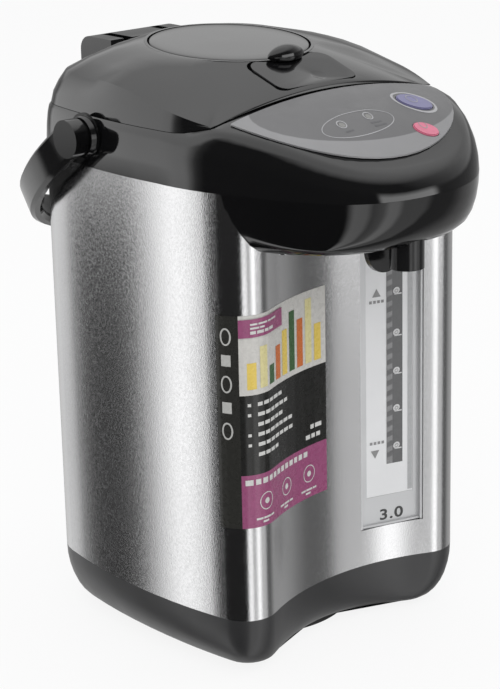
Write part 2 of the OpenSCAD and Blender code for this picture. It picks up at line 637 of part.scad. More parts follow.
// moves a thing onto the dome at a place seen from above and turns it to the dome's normal
module on_dome(p) {
  gx = -2 * dome_side * p.x;
  gy = dome_rise - 2 * dome_fall * (p.y + panel_y);
  translate([p.x, p.y, dome(p.x, p.y)]) rotate([asin(gy / norm([gx, gy, 1])), atan(-gx), 0]) children();
}
blue_at = [35.2, -87.6];
blue_turn = -22;
blue_size = [10.3, 7];
red_at = [24, -107];
red_turn = -21;
red_size = [7.4, 4.8];
led_at = [[-22.3, -94.8], [-3.3, -93.7]];
led_r = 1.8;
function oval(a, b, n = 32) = [for (i = [0:n - 1]) [a * cos(360 * i / n), b * sin(360 * i / n)]];
module button_space(at, turn, size, d)
  on_dome(at) translate([0, 0, -10]) rotate(turn) linear_extrude(height = 20)
    polygon(oval(size.x + d, size.y + d));
fascia_mid = [0, -88];
fascia_lift = 0.25;
fascia_steps = [0.02, 0.3, 0.55, 0.78, 1];
function fascia_outline(d = 0) = [for (i = [0:47]) let (a = 180 + 7.5 * i)
  [(fascia_w - d) * cos(a), -panel_y - 1 + ((i <= 24 ? fascia_len : fascia_bow) - d) * sin(a)]];
function fascia_ring(k, lift) = [for (p = fascia_outline())
  let (x = mix(fascia_mid.x, p.x, k), y = mix(fascia_mid.y, p.y, k)) [x, y, (k < 0.2 ?
    dome(0, fascia_mid.y) : dome(x, y)) + lift]];
module control_fascia() color([0.6, 0.61, 0.63]) difference() {
  skin(concat([for (k = fascia_steps) fascia_ring(k, fascia_lift)],
              [for (i = [4:-1:0]) fascia_ring(fascia_steps[i], fascia_lift + fascia_t)]));
  button_space(blue_at, blue_turn, blue_size, button_gap);
  button_space(red_at, red_turn, red_size, button_gap);
  for (p = led_at) on_dome(p) translate([0, 0, -8]) cylinder(r = led_r + 0.1, h = 12);
}
button_top = 1.5;
board_drop = 12;
switch_h = 3.5;
cap_edge = 0.5;
cap_flange = 3.7;
function stem_low(at) =
  -(dome(at.x, at.y) - board_plane(at.y)) - board_drop + switch_h + button_travel + 0.9;
module button_cap(at, turn, size) on_dome(at) rotate(turn) {
  translate([0, 0, -cap_flange]) linear_extrude(height = cap_flange + button_top - cap_edge)
    polygon(oval(size.x, size.y));
  translate([0, 0, button_top - cap_edge]) linear_extrude(height = cap_edge)
    polygon(oval(size.x - cap_edge, size.y - cap_edge));
  translate([0, 0, -cap_flange - 0.8]) linear_extrude(height = 0.81)
    polygon(oval(size.x + 1.2, size.y + 1.2));
  translate([0, 0, stem_low(at)]) cylinder(r = 2, h = -stem_low(at) - cap_flange);
}
module blue_button() color([0.28, 0.3, 0.6]) button_cap(blue_at, blue_turn, blue_size);
module red_button() color([0.85, 0.25, 0.35]) button_cap(red_at, red_turn, red_size);
module led_lenses() color([0.9, 0.9, 0.85, 0.7])
  for (p = led_at) on_dome(p) translate([0, 0, -8]) cylinder(r = led_r, h = 8 + fascia_lift + fascia_t);
function on_board(p) = [p.x, (p.y + panel_y) / cos(panel_tilt)];
ear_w = 12;
module control_board() difference() {
  at_panel() {
    color([0.1, 0.35, 0.18]) translate([-34, -46, -board_drop - board_t]) cube([78, 42, board_t]);
    color([0.1, 0.35, 0.18])
      translate([-59, on_board(beak_screw_places[0]).y - ear_w / 2, -board_drop - board_t])
      cube([118, ear_w, board_t]);
    color([0.15, 0.15, 0.15]) for (at = [on_board(blue_at), on_board(red_at)])
      translate([at.x - 3, at.y - 3, -board_drop - 0.1]) cube([6, 6, switch_h + 0.1]);
    color([0.9, 0.9, 0.9]) for (p = led_at) translate([p.x, on_board(p).y, -board_drop - 0.1])
      cylinder(r = 1.5, h = 2.5);
    color([0.3, 0.3, 0.3]) translate([-10, -42, -board_drop - 0.1]) cube([14, 12, 1.7]);
  }
  for (p = beak_screw_places) translate([p.x, p.y, post_join_z]) cylinder(r = post_r + touch, h = 60);
}

// ---- lower cover of the beak ----
low_reach = 120;
low_half_w = 63;
low_start = 55;
cover_back = 69.5;
low_e = 2.5;
function cover_ring(a, d) =
  let (s = 1 - cos(a), reach = mix(beak_reach, low_reach, s) - d, w = mix(beak_half_w, low_half_w, s) - d,
       y0 = mix(beak_start, low_start, s))
  [for (p = whole(concat(
    [for (i = [0:front_n]) let (t = 90 * i / front_n, q = 2 / mix(mix(nose_e, flank_e, t / 90), low_e, s))
      [w * pow(sin(t), q), -y0 - (reach - y0) * pow(cos(t), q)]],
    [for (i = [1:8]) let (t = 90 - 90 * i / 8) [w * sin(t), -y0 + 14 * cos(t)]])))
    [p.x, p.y, mix(seam_z(p.y) - seam_gap, beak_low, sin(a)) + (a > 80 ? d : 0)]];
lever_slot_y = [-112, -92];
module beak_cover() color([0.07, 0.07, 0.08]) difference() {
  union() {
    skin(concat([for (a = [90, 75, 58, 42, 27, 13, 0]) cover_ring(a, 0)],
                [for (a = [0, 27, 58, 90]) cover_ring(a, plastic_t)]));
    for (p = beak_screw_places) translate([p.x, p.y, beak_low + 1])
      cylinder(r = post_r, h = post_join_z - touch - beak_low - 1);
  }
  translate([0, 0, beak_low - 20]) linear_extrude(height = 80) polygon(body_outline(-0.3));
  translate([-100, -cover_back, beak_low - 20]) cube([200, cover_back + 10, 60]);
  translate([0, -spout_y, beak_low - 10]) cylinder(r = spout_r + 1.2, h = 22);
  translate([-lever_slot_w / 2, lever_slot_y[0], beak_low - 5])
    cube([lever_slot_w, lever_slot_y[1] - lever_slot_y[0], 12]);
  for (p = beak_screw_places) translate([p.x, p.y, beak_low - 5]) cylinder(r = 1.7, h = 40);
}
beak_screw_places = [[-54, -86], [54, -86]];
module beak_screws() color([0.6, 0.6, 0.62])
  for (p = beak_screw_places) translate([p.x, p.y, beak_low])
    screw(1.4, 2.6, post_join_z + 6 - beak_low, 1.2);

// ---- spout, cup lever and its switch ----
spout_top = beak_low + 12;
module spout_nozzle() color([0.03, 0.03, 0.03]) translate([0, -spout_y, 0]) difference() {
  union() {
    translate([0, 0, spout_low]) cylinder(r = spout_r, h = spout_top - spout_low);
    translate([-16, 2.5, beak_low + plastic_t + touch]) cube([32, 8, 2]);
  }
  translate([0, 0, spout_low - 1]) cylinder(r = spout_bore, h = spout_top - spout_low + 2);
  translate([0, 0, spout_top - 9.2]) cylinder(r = hose_out + touch, h = 20);
}
lever_y = -102;
lever_w = 13;
lever_slot_w = 2 * lever_w + 5;
lever_low = 214;
lever_pin_z = beak_low + 9;
lever_t = 3;
lever_pin_r = 1.5;
module cup_lever() color([0.1, 0.1, 0.1]) translate([0, lever_y, 0]) difference() {
  union() {
    intersection() {
      translate([0, lever_t / 2, lever_low + lever_w]) rotate([90, 0, 0])
        cylinder(r = lever_w, h = lever_t);
      translate([-lever_w, -lever_t, lever_low]) cube([2 * lever_w, 2 * lever_t, lever_w + 8]);
    }
    translate([-lever_w, -lever_t / 2, lever_low + lever_w - 0.01])
      cube([2 * lever_w, lever_t, lever_pin_z - lever_low - lever_w]);
    translate([-lever_w, 0, lever_pin_z]) rotate([0, 90, 0]) cylinder(r = 3.2, h = 2 * lever_w);
    translate([-3, 2, lever_pin_z - 1.2]) cube([6, 9, 2.4]);
  }
  translate([-lever_w - 1, 0, lever_pin_z]) rotate([0, 90, 0])
    cylinder(r = lever_pin_r + run_gap, h = 2 * lever_w + 2);
}
module lever_pin() color([0.7, 0.7, 0.72]) {
  translate([-lever_w - 6, lever_y, lever_pin_z]) rotate([0, 90, 0])
    cylinder(r = lever_pin_r, h = 2 * lever_w + 12);
  for (s = [-1, 1]) translate([s * (lever_w + 5) - 2, lever_y - 4, beak_low + plastic_t + touch])
    difference() {
    cube([4, 8, lever_pin_z - beak_low - plastic_t + 3]);
    translate([-1, 4, lever_pin_z - beak_low - plastic_t - touch]) rotate([0, 90, 0])
      cylinder(r = lever_pin_r - 0.01, h = 6);
  }
}
module cup_switch() color([0.05, 0.05, 0.05]) translate([-10, lever_y + 5, lever_pin_z + 3.4]) {
  difference() {
    cube([20, 10, 9]);
    for (x = [4, 16]) translate([x, -1, 6]) rotate([-90, 0, 0]) cylinder(r = 1.2, h = 12);
  }
  translate([9, 2, -0.9]) cube([2, 3, 1]);
  for (x = [0, 17]) translate([x, 6, beak_low + plastic_t - lever_pin_z - 3.4])
    cube([3, 4, lever_pin_z + 4 - beak_low - plastic_t]);
}

// ---- lid ----
lid_gap = 0.3;
lid_t = 2.6;
well_depth = 35;
well_t = 1.6;
well_floor = 2;
lid_front_y = 60;
hole_r = disc_r + disc_gap;
crease_rise = 0.208;
crease_y = 8;
crease_blend = 45;
tip_share = 0.1;
// how far the rounded back of the lid has taken over from its creased sides
function rounded(y) = smooth((y - crease_y) / crease_blend);
// height of the shoulder: a crease that climbs from the front tips, level from the middle on
function shoulder_z(y) = rim_z + shoulder_h + crease_rise * min(0, y - crease_y) - 1.7 * rounded(y);
function shoulder_in(y) = mix(tip_share, 1, smooth((y - tip.y) / -tip.y));
// a ring of the lid's flank, a share g of the way up to the shoulder: drawn in by a on the sides and by
// b round the back; along the front it's moved back by dy and raised by hf
function lid_flank(a, b, g, dy, hf, drop = 0) = whole3(concat(
  [for (i = [0:tip_i - 1]) let (u = i / tip_i, h = hf * (1 - u * u), x = (tip.x - a * tip_share) * u,
      y = mix(-lid_front_y, tip.y, u * u) + dy)
      [x, y, dome(x, y) + lid_gap + h - min(drop, h + 0.1)]],
  [for (i = [tip_i:len(rim_half) - 1]) let (p = rim_half[i], d = mix(a, b, rounded(p.y)) * shoulder_in(p.y),
      q = i <= front_n ? [p.x - d, p.y + dy * (1 - shoulder_in(p.y))] : inset(p, d),
      low = top_z(q.x, q.y) + lid_gap)
      [q.x, q.y, max(mix(low, max(shoulder_z(p.y), low), g) - drop, low - 0.1)]]));
function disc_plane(y) = disc_z + (y - disc_y) * tan(disc_tilt);
function disc_point(p, r) = let (v = [p.x, p.y - disc_y], q = v * r / norm(v)) [q.x, q.y + disc_y];
function lid_dome(base, s, drop) = [for (p = base)
  let (q = disc_point(p, hole_r), z1 = disc_plane(q.y),
    e = mix(1.15, 1.75, smooth((p.y - tip.y) / 45)), f = 1 - pow(1 - s, e))
  [mix(p.x, q.x, s), mix(p.y, q.y, s), mix(p.z, z1, f) - drop]];
lid_lean = 1;
lid_shoulder = lid_flank(3, 8.7, 1, lid_lean, lid_front_h);
lid_shoulder_in = lid_flank(3 + lid_t, 8.7 + lid_t, 1, lid_lean + lid_t, lid_front_h, lid_t);
module lid_shell() color([0.1, 0.1, 0.105]) difference() {
  loop_skin(concat(
    [lid_flank(0, 0, 0, 0, 0), lid_flank(0.6, 1.4, 0.32, 0, lid_front_h * 0.4),
     lid_flank(1.6, 4.5, 0.66, 0.3, lid_front_h * 0.8), lid_shoulder],
    [for (s = [0.3, 0.6, 0.85, 1]) lid_dome(lid_shoulder, s, 0)],
    [lid_dome(lid_shoulder, 1, lid_t), lid_dome(lid_shoulder_in, 0.5, 0)],
    [lid_shoulder_in, lid_flank(lid_t, lid_t, 0, lid_t, 0)]));
  translate([-block_w / 2 - lid_gap, hinge_y, hinge_z]) rotate([0, 90, 0])
    cylinder(r = block_r + lid_gap, h = block_w + 2 * lid_gap, $fn = 96);
  translate([-block_w / 2 - lid_gap, block_front + 4, rim_z - 20]) cube([block_w + 2 * lid_gap, 40, 60]);
  at_disc() translate([0, 0, -20]) cylinder(r = hole_r + well_t + touch, h = 40, $fn = 96);
  at_flap() translate([0, 0, -flap_t - 2]) linear_extrude(height = 16) polygon(flap_outline(flap_gap));
  for (s = [-1, 1]) translate([s * arm_x - arm_w / 2 - arm_gap, bracket_y, arm_low - 3])
    cube([arm_w + 2 * arm_gap, 20, arm_h + 3 + lid_gap]);
}
seal_z = steel_top + 2;
inner_z = seal_z + 3.2;
inner_t = 2.4;
module lid_inner() color([0.82, 0.82, 0.8]) translate([0, 0, inner_z]) difference() {
  union() {
    translate([0, tank_y, 0]) cylinder(r = mouth_r + 2, h = inner_t, $fn = 96);
    translate([0, tank_y, -4]) cylinder(r = mouth_r - 2.5, h = 4.1, $fn = 96);
    for (a = lid_screw_angles) lid_screw_place(a) cylinder(r = 4.5, h = 20);
    translate([0, well_low_y, 0]) cylinder(r = 10, h = 20);
  }
  translate([0, tank_y, -5]) cylinder(r = mouth_r - 4.5, h = 4, $fn = 96);
  translate([0, well_low_y, -5]) cylinder(r = 7, h = 40);
  for (a = lid_screw_angles) lid_screw_place(a) translate([0, 0, -5]) cylinder(r = 1.6, h = 40);
  translate([0, 0, -inner_z]) at_disc() translate([0, 0, -well_depth - well_floor - touch])
    cylinder(r = hole_r + 10, h = 60);
}
lid_screw_ring = 38.5;
lid_screw_angles = [45, 135, 225, 315];
well_low_y = disc_y + (well_depth + well_floor) * sin(disc_tilt);
module lid_screw_place(a)
  translate([lid_screw_ring * cos(a), well_low_y + lid_screw_ring * sin(a), 0]) children();
module lid_gasket() color([0.85, 0.85, 0.85]) translate([0, tank_y, seal_z + flat_gap])
  rotate_extrude($fn = 96) translate([mouth_r - 0.5, 0]) polygon([[0, 0], [3, 0], [2.4, 3], [-2, 3],
    [-2, 2.2]]);
module lid_screws() color([0.6, 0.6, 0.62])
  for (a = lid_screw_angles) lid_screw_place(a) translate([0, 0, inner_z - 1]) screw(1.4, 2.8, 19, 1.4);

// ---- lid hinge ----
hinge_y = 96.5;
hinge_z = 301.5;
block_r = 19.8;
block_w = 58;
block_front = 82;
block_back = 110;
block_high = 314.8;
block_round = 8;
arm_x = 17;
arm_w = 5;
arm_gap = 0.4;
arm_low = 292.2;
arm_h = 6;
hub_back = 6.4;
module hinge_block() color([0.08, 0.08, 0.09]) difference() {
  translate([-block_w / 2, 0, 0]) rotate([90, 0, 90]) linear_extrude(height = block_w) polygon(concat(
    [[block_front, rim_z + touch], [block_front, block_high]],
    arc(block_back - block_round, block_high - block_round, block_round, 90, 0, 8),
    [[block_back, rim_z - 4], [body_back + 1.2, steel_top - 6], [body_back - 10, steel_top - 6],
     [body_back - 10, rim_z + touch]]));
  translate([0, 0, steel_top - 20]) linear_extrude(height = rim_z + touch - steel_top + 20)
    polygon(body_outline(-0.1));
  for (s = [-1, 1]) translate([s * arm_x - arm_w / 2 - arm_gap, block_front - 1, arm_low - 0.6])
    cube([arm_w + 2 * arm_gap, hinge_y - block_front + 1 + hub_back, 40]);
  translate([-block_w, hinge_y, hinge_z]) rotate([0, 90, 0]) cylinder(r = hinge_pin_r, h = 2 * block_w);
}
module hinge_pin() color([0.75, 0.75, 0.77])
  translate([-block_w / 2 + 1, hinge_y, hinge_z]) rotate([0, 90, 0])
    cylinder(r = hinge_pin_r, h = block_w - 2);
bracket_y = 67;
module hinge_bracket() color([0.15, 0.15, 0.16]) difference() {
  union() {
    for (s = [-1, 1]) translate([s * arm_x - arm_w / 2, 0, 0]) {
      translate([0, bracket_y, arm_low]) cube([arm_w, hinge_y - bracket_y, arm_h]);
      translate([0, hinge_y, hinge_z]) rotate([0, 90, 0]) cylinder(r = hub_back - 0.7, h = arm_w);
    }
    translate([-arm_x - arm_w / 2, 45, arm_low]) cube([2 * arm_x + arm_w, bracket_y - 42, arm_h]);
  }
  translate([-block_w, hinge_y, hinge_z]) rotate([0, 90, 0])
    cylinder(r = hinge_pin_r + run_gap, h = 2 * block_w);
  at_disc() translate([0, 0, -60]) cylinder(r = hole_r + well_t + touch, h = 80, $fn = 96);
}

// ---- air pump in the lid ----
module at_disc() translate([0, disc_y, disc_z]) rotate([disc_tilt, 0, 0]) children();
module pump_well() color([0.16, 0.16, 0.17]) difference() {
  union() {
    at_disc() difference() {
      translate([0, 0, -well_depth - well_floor])
        cylinder(r = hole_r + well_t, h = well_depth + well_floor - 0.1, $fn = 96);
      translate([0, 0, -well_depth]) cylinder(r = hole_r, h = well_depth + 1, $fn = 96);
      lock_slot(0.2);
    }
    intersection() {
      for (a = lid_screw_angles) lid_screw_place(a) translate([0, 0, inner_z]) cylinder(r = 3.4, h = 60);
      at_disc() translate([0, 0, -well_depth - 1]) cylinder(r = hole_r, h = 7);
    }
  }
  at_disc() translate([0, 0, -well_depth - 5]) cylinder(r = valve_r + touch, h = 10);
  for (a = lid_screw_angles) lid_screw_place(a) translate([0, 0, inner_z]) cylinder(r = 1.4, h = 20);
}
skirt_h = 7;
disc_low = 3;
stem_r = 5;
stem_l = 10;
module pump_disc() color([0.1, 0.1, 0.105]) at_disc() rotate_extrude($fn = 96) polygon(concat(
  [[0, 0.4], [disc_r - 6, 0.2]],
  arc(disc_r - 1, -1, 1, 90, 0, 4),
  [[disc_r, -skirt_h], [disc_r - 2, -skirt_h], [disc_r - 2, -disc_low], [stem_r, -disc_low],
   [stem_r, -disc_low - stem_l], [stem_r - 1.6, -disc_low - stem_l], [stem_r - 1.6, -disc_low],
     [0, -disc_low]]));
valve_r = 5.8;
bellow_folds = 5;
bellow_top = -disc_low - touch;
bellow_r = 33;
fold_h = (well_depth + bellow_top) / bellow_folds;
function zigzag(r, dr) = [for (i = [0:2 * bellow_folds])
  [r - (i % 2) * dr, -well_depth + fold_h * i / 2]];
module bellows() color([0.35, 0.35, 0.36]) at_disc() rotate_extrude($fn = 60) {
  outer = zigzag(bellow_r, 7);
  inner = zigzag(bellow_r - 1.2, 7);
  polygon(concat(outer, [for (i = [len(inner) - 1:-1:0]) inner[i]]));
}
spring_turns = 6;
spring_r = 14;
wire_r = 0.9;
spring_sides = 8;
spring_steps = 12;
spring_len = well_depth - disc_low - 2 * (wire_r + touch);
function spring_ring(i) = let (a = 360 * i / spring_steps,
    z = -well_depth + wire_r + touch + spring_len * i / (spring_turns * spring_steps))
  [for (j = [0:spring_sides - 1]) let (b = -360 * j / spring_sides, r = spring_r + wire_r * cos(b))
    [r * cos(a), r * sin(a), z + wire_r * sin(b)]];
module pump_spring() color([0.75, 0.75, 0.77]) at_disc()
  skin([for (i = [spring_turns * spring_steps:-1:0]) spring_ring(i)]);
module air_valve() color([0.7, 0.4, 0.3]) at_disc() translate([0, 0, -well_depth - 5.6]) {
  cylinder(r = valve_r, h = 5.6);
  translate([0, 0, 5.6 + touch]) cylinder(r = 8, h = 1);
  cylinder(r = 3, h = 6);
}

// ---- latch flap on the lid's front ----
flap_front = 56.3;
flap_pivot_y = -32;
flap_pivot_drop = 3.2;
flap_round = 5.5;
flap_back_r = hole_r + well_t + 1.8;
flap_z = 303.9;
module at_flap() translate([0, -lid_front_y, flap_z]) rotate([flap_tilt, 0, 0]) children();
function flap_y(y) = (y + lid_front_y) / cos(flap_tilt);
// outline in the flap's own plane: a straight front, round front corners and a hollow back edge
flap_neck = 8;
function flap_back(x, d) = flap_y(disc_y - sqrt(pow(flap_back_r - 4 * d, 2) - x * x));
function flap_outline(d) = let (w = flap_w - flap_neck, y = flap_back(w, d)) concat(
  arc(-flap_w + flap_round, flap_y(-flap_front) + flap_round, flap_round + d, 180, 270, 6),
  arc(flap_w - flap_round, flap_y(-flap_front) + flap_round, flap_round + d, 270, 360, 6),
  arc(w + d, y - flap_neck, flap_neck, 0, 90, 6),
  [for (i = [0:12]) let (x = w * (1 - i / 6)) [x, flap_back(x, d)]],
  arc(-w - d, y - flap_neck, flap_neck, 90, 180, 6));
tray_depth = 6;
tray_t = 1.4;
latch_pin_r = 1.2;
bolt_z = 292;
bolt_t = 2.5;
bolt_w = 20;
bolt_front = -56.2;
bolt_back = -33;
ear_in = 3.2;
ear_t = 2;
lug_w = 6;
guide_t = 1.4;
guide_y = -47;
guide_l = 9;
pivot_at = [flap_pivot_y + flap_pivot_drop * sin(flap_tilt),
            flap_z + (flap_pivot_y + lid_front_y) * tan(flap_tilt) - flap_pivot_drop * cos(flap_tilt)];
// cross pin under the flap and its path in the bolt's slanted slots, from flap down (0) to lifted (1)
cross_pin_r = 1.2;
cross_pin_at = [-42, bolt_z + bolt_t + cross_pin_r + 0.3];
slot_steps = 6;
function slot_point(k) = let (v = cross_pin_at - pivot_at, a = flap_lift * k)
  pivot_at + [v.x * cos(a) + v.y * sin(a) - bolt_travel * k, v.y * cos(a) - v.x * sin(a)];
module latch_axis() at_flap() translate([0, flap_y(flap_pivot_y), -flap_pivot_drop]) rotate([0, 90, 0])
  children();
module latch_tray() color([0.14, 0.14, 0.15]) difference() {
  union() {
    at_flap() translate([0, 0, -tray_depth - tray_t]) linear_extrude(height = tray_depth + tray_t - 4.9)
      polygon(flap_outline(flap_gap + 1.6));
    for (s = [-1, 1])
      translate([s * (bolt_w / 2 + 0.15 + guide_t / 2) - guide_t / 2, guide_y, bolt_z - 1.5])
      cube([guide_t, guide_l, 11]);
    for (s = [-1, 1]) for (z = [bolt_z - 1.5, bolt_z + bolt_t + 0.1])
      translate([s * (bolt_w / 2) - 1.6, guide_y, z]) cube([3.2, guide_l, 1.4]);
  }
  difference() {
    at_flap() translate([0, 0, -tray_depth]) linear_extrude(height = 20) polygon(flap_outline(flap_gap));
    translate([-40, -60, bolt_z - 5]) cube([80, 40, 12]);
  }
  translate([-40, -80, 280]) cube([80, 80 - flap_front, 60]);
  at_disc() translate([0, 0, -60]) cylinder(r = hole_r + well_t + touch, h = 80, $fn = 96);
  latch_axis() cylinder(r = latch_pin_r, h = 80, center = true);
  translate([-ear_in - ear_t - 1, bolt_front - 2, bolt_z]) cube([2 * (ear_in + ear_t + 1), 24, 30]);
}
module latch_pin() color([0.75, 0.75, 0.77])
  latch_axis() cylinder(r = latch_pin_r, h = 2 * flap_w - 2, center = true);
function flap_mid(y) = flap_z + (y + lid_front_y) * tan(flap_tilt) - flap_t / 2;
module latch_flap() color([0.12, 0.12, 0.125]) difference() {
  union() {
    at_flap() translate([0, 0, -flap_t]) linear_extrude(height = flap_t) polygon(flap_outline(0));
    for (s = [-1, 1]) latch_axis() translate([0, 0, s * 16 - lug_w / 2]) {
      cylinder(r = 2.4, h = lug_w);
      translate([-flap_pivot_drop + 0.8, -4, 0]) cube([flap_pivot_drop - 0.8, 4, lug_w]);
    }
    translate([0, cross_pin_at.x, cross_pin_at.y]) rotate([0, 90, 0])
      cylinder(r = cross_pin_r, h = 2 * (ear_in + ear_t), center = true);
    translate([-ear_in + 0.4, 0, 0]) rotate([90, 0, 90]) linear_extrude(height = 2 * ear_in - 0.8)
      polygon([
      cross_pin_at + [-2.2, -1.2], cross_pin_at + [2.2, -1.2],
      cross_pin_at + [4, flap_mid(cross_pin_at.x + 4) - cross_pin_at.y],
      cross_pin_at + [-4, flap_mid(cross_pin_at.x - 4) - cross_pin_at.y]]);
  }
  latch_axis() cylinder(r = latch_pin_r + run_gap, h = 80, center = true);
  at_flap() translate([5, flap_y(-flap_front) + 8, 15.2]) sphere(r = 16);
}
module latch_bolt() color([0.5, 0.5, 0.52]) difference() {
  union() {
    translate([-bolt_w / 2, bolt_front, bolt_z]) cube([bolt_w, bolt_back - bolt_front, bolt_t]);
    for (s = [-1, 1]) translate([s * (ear_in + ear_t / 2) - ear_t / 2, 0, 0]) rotate([90, 0, 90])
      linear_extrude(height = ear_t) polygon([
        [bolt_front + 1, bolt_z + 1], [cross_pin_at.x + 3, bolt_z + 1], cross_pin_at + [3, 2.6],
        slot_point(1) + [2.6, 2.8], slot_point(1) + [-2.6, 2.8], slot_point(1) + [-2.8, 0]]);
  }
  for (i = [0:slot_steps - 1]) let (p = slot_point(i / slot_steps), q = slot_point((i + 1) / slot_steps),
    v = q - p)
    translate([0, p.x, p.y]) rotate([atan2(v.y, v.x), 0, 0])
      translate([-ear_in - ear_t - 1, 0, -cross_pin_r - 0.3])
        cube([2 * (ear_in + ear_t + 1), norm(v), 2 * (cross_pin_r + 0.3)]);
  for (i = [0:slot_steps])
    translate([-ear_in - ear_t - 1, slot_point(i / slot_steps).x, slot_point(i / slot_steps).y])
    rotate([0, 90, 0]) cylinder(r = cross_pin_r + 0.3, h = 2 * (ear_in + ear_t + 1));
}
keeper_w = 12;
keeper_y = -60.6;
keeper_t = 1.6;
keeper_low = bolt_z - 1;
module latch_keeper() color([0.6, 0.6, 0.62]) {
  translate([-keeper_w / 2, keeper_y, keeper_low])
    cube([keeper_w, keeper_t, dome(keeper_w / 2, keeper_y) - plastic_t - 0.6 - keeper_low]);
  translate([-keeper_w / 2, keeper_y, bolt_z + bolt_t + 0.9]) cube([keeper_w, 3.6, 1.5]);
}

// ---- transport lock on the pump disc's edge ----
lock_at = -45.3;
lock_base = 0.6;
lock_half = 12.5;
lock_r = 5.5;
lock_axis = 1.6;
stem_w = 4;
module lock_slot(d) translate([-stem_w / 2 - d, -hole_r - well_t - 1, -4 - d])
  cube([stem_w + lock_travel + 2 * d, well_t + 2, 6]);
module lock_knob() color([0.02, 0.02, 0.02]) at_disc() {
  intersection() {
    translate([0, lock_at, lock_axis]) rotate([0, 90, 0]) rotate_extrude($fn = 60) polygon(
      [for (i = [0:20]) let (t = i / 10 - 1) [lock_r * pow(max(1 - t * t, 0), 0.75), lock_half * t]]);
    union() {
      translate([-lock_half, lock_at - lock_r, lock_base]) cube([2 * lock_half, 2 * lock_r, 20]);
      translate([-lock_half, lock_at - lock_r, lock_base - 1]) cube([2 * lock_half, lock_r - 1, 20]);
    }
  }
  translate([-stem_w / 2, -hole_r - well_t + 0.1, -4]) cube([stem_w, well_t - 0.3, 4 + lock_base + 0.5]);
}

// ---- bail handle ----
handle_room = 13;
handle_half = body_w / 2 + handle_room;
pin_cover = 2;
boss_r = 12;
boss_x = body_w / 2 - 4;
pin_inner = body_w / 2 - 7;
boss_out = handle_half - strap_t - 0.4 - run_gap;
module pivot_axis(s) translate([s * (body_w / 2 - 2), pivot_y, pivot_z]) rotate([0, 90, 0]) children();
module handle_bosses() color([0.08, 0.08, 0.09]) for (s = [-1, 1]) difference() {
  translate([s * boss_x, pivot_y, pivot_z]) rotate([0, 90 * s, 0]) {
    cylinder(r = boss_r, h = 5);
    translate([0, 0, 5]) cylinder(r1 = boss_r - 1.2, r2 = boss_r - 2, h = 2.5);
    translate([0, 0, 7.5]) cylinder(r = boss_r - 4, h = boss_out - boss_x - 7.5);
  }
  translate([0, 0, steel_top - 1]) linear_extrude(height = 60) polygon(body_outline(-0.1));
  translate([s * 70, pivot_y, pivot_z]) rotate([0, 90 * s, 0]) cylinder(r = handle_pin_r, h = 60);
}
module handle_pins() color([0.6, 0.6, 0.62]) for (s = [-1, 1])
  translate([s * pin_inner, pivot_y, pivot_z]) rotate([0, 90 * s, 0]) {
    cylinder(r = handle_pin_r, h = handle_half - pin_cover - 0.5 - pin_inner);
  }
handle_steps = 40;
handle_e = 2.32;
// centre line of the strap in its own plane: across, and away from the pivots
function bail(i) = let (t = -90 + 180 * i / handle_steps, s = sign(t))
  [s * (handle_half - strap_t / 2) * pow(abs(sin(t)), 2 / handle_e),
   (handle_reach - strap_t / 2) * pow(cos(t), 2 / handle_e)];
function bail_dir(i) = i == 0 ? [0, 1] : i == handle_steps ? [0, -1] : let (a = bail(max(i - 1, 0)),
  b = bail(min(i + 1, handle_steps)), v = b - a) v / norm(v);
function strap_ring(i) = let (p = bail(i), d = bail_dir(i), n = [d.y, -d.x], h = strap_w / 2, t = strap_t / 2,
    q = [[t, 0], [t, h - 2], [t - 2, h], [-t + 2, h], [-t, h - 2], [-t, h * 0.55], [-t + 2.4, h * 0.3],
         [-t + 2.4, -h * 0.3], [-t, -h * 0.55], [-t, -h + 2], [-t + 2, -h], [t - 2, -h], [t, -h + 2]])
  [for (c = q) [p.x + n.x * -c.x, p.y + n.y * -c.x, c.y]];
hub_r = 10;
hub_proud = 0.4;
module handle() color([0.06, 0.06, 0.065]) translate([0, pivot_y, pivot_z]) rotate([-handle_droop, 0, 0])
  difference() {
  union() {
    skin([for (i = [0:handle_steps]) strap_ring(i)]);
    for (s = [-1, 1]) translate([s * (handle_half - strap_t - hub_proud), 0, 0]) rotate([0, 90 * s, 0])
      cylinder(r = hub_r, h = strap_t + 2 * hub_proud);
  }
  for (s = [-1, 1]) translate([s * (handle_half - pin_cover), 0, 0]) rotate([0, -90 * s, 0])
    cylinder(r = handle_pin_r + run_gap, h = strap_t + 2);
}

base_pan();
bottom_cover();
foot_ring();
base_screws();
power_inlet();
inlet_pins();
power_board();
steel_shell();
inner_tank();
mouth_deck();
tank_gasket();
heater_plate();
heater_bracket();
thermostats();
thermal_fuse();
pump_motor();
pump_housing();
pump_impeller();
outlet_hose();
gauge_tube();
delivery_tube();
gauge_frame();
gauge_window();
gauge_scale();
gauge_light_board();
collar();
collar_screws();
beak_cover();
beak_screws();
control_fascia();
blue_button();
red_button();
led_lenses();
control_board();
spout_nozzle();
cup_lever();
lever_pin();
cup_switch();
lid_shell();
lid_inner();
lid_gasket();
lid_screws();
hinge_bracket();
hinge_block();
hinge_pin();
pump_well();
pump_disc();
bellows();
pump_spring();
air_valve();
latch_tray();
latch_flap();
latch_pin();
latch_bolt();
latch_keeper();
lock_knob();
handle_bosses();
handle();
handle_pins();
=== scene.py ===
import json
import math

import bpy
import numpy as np
from mathutils import Matrix, Vector
from mathutils.bvhtree import BVHTree


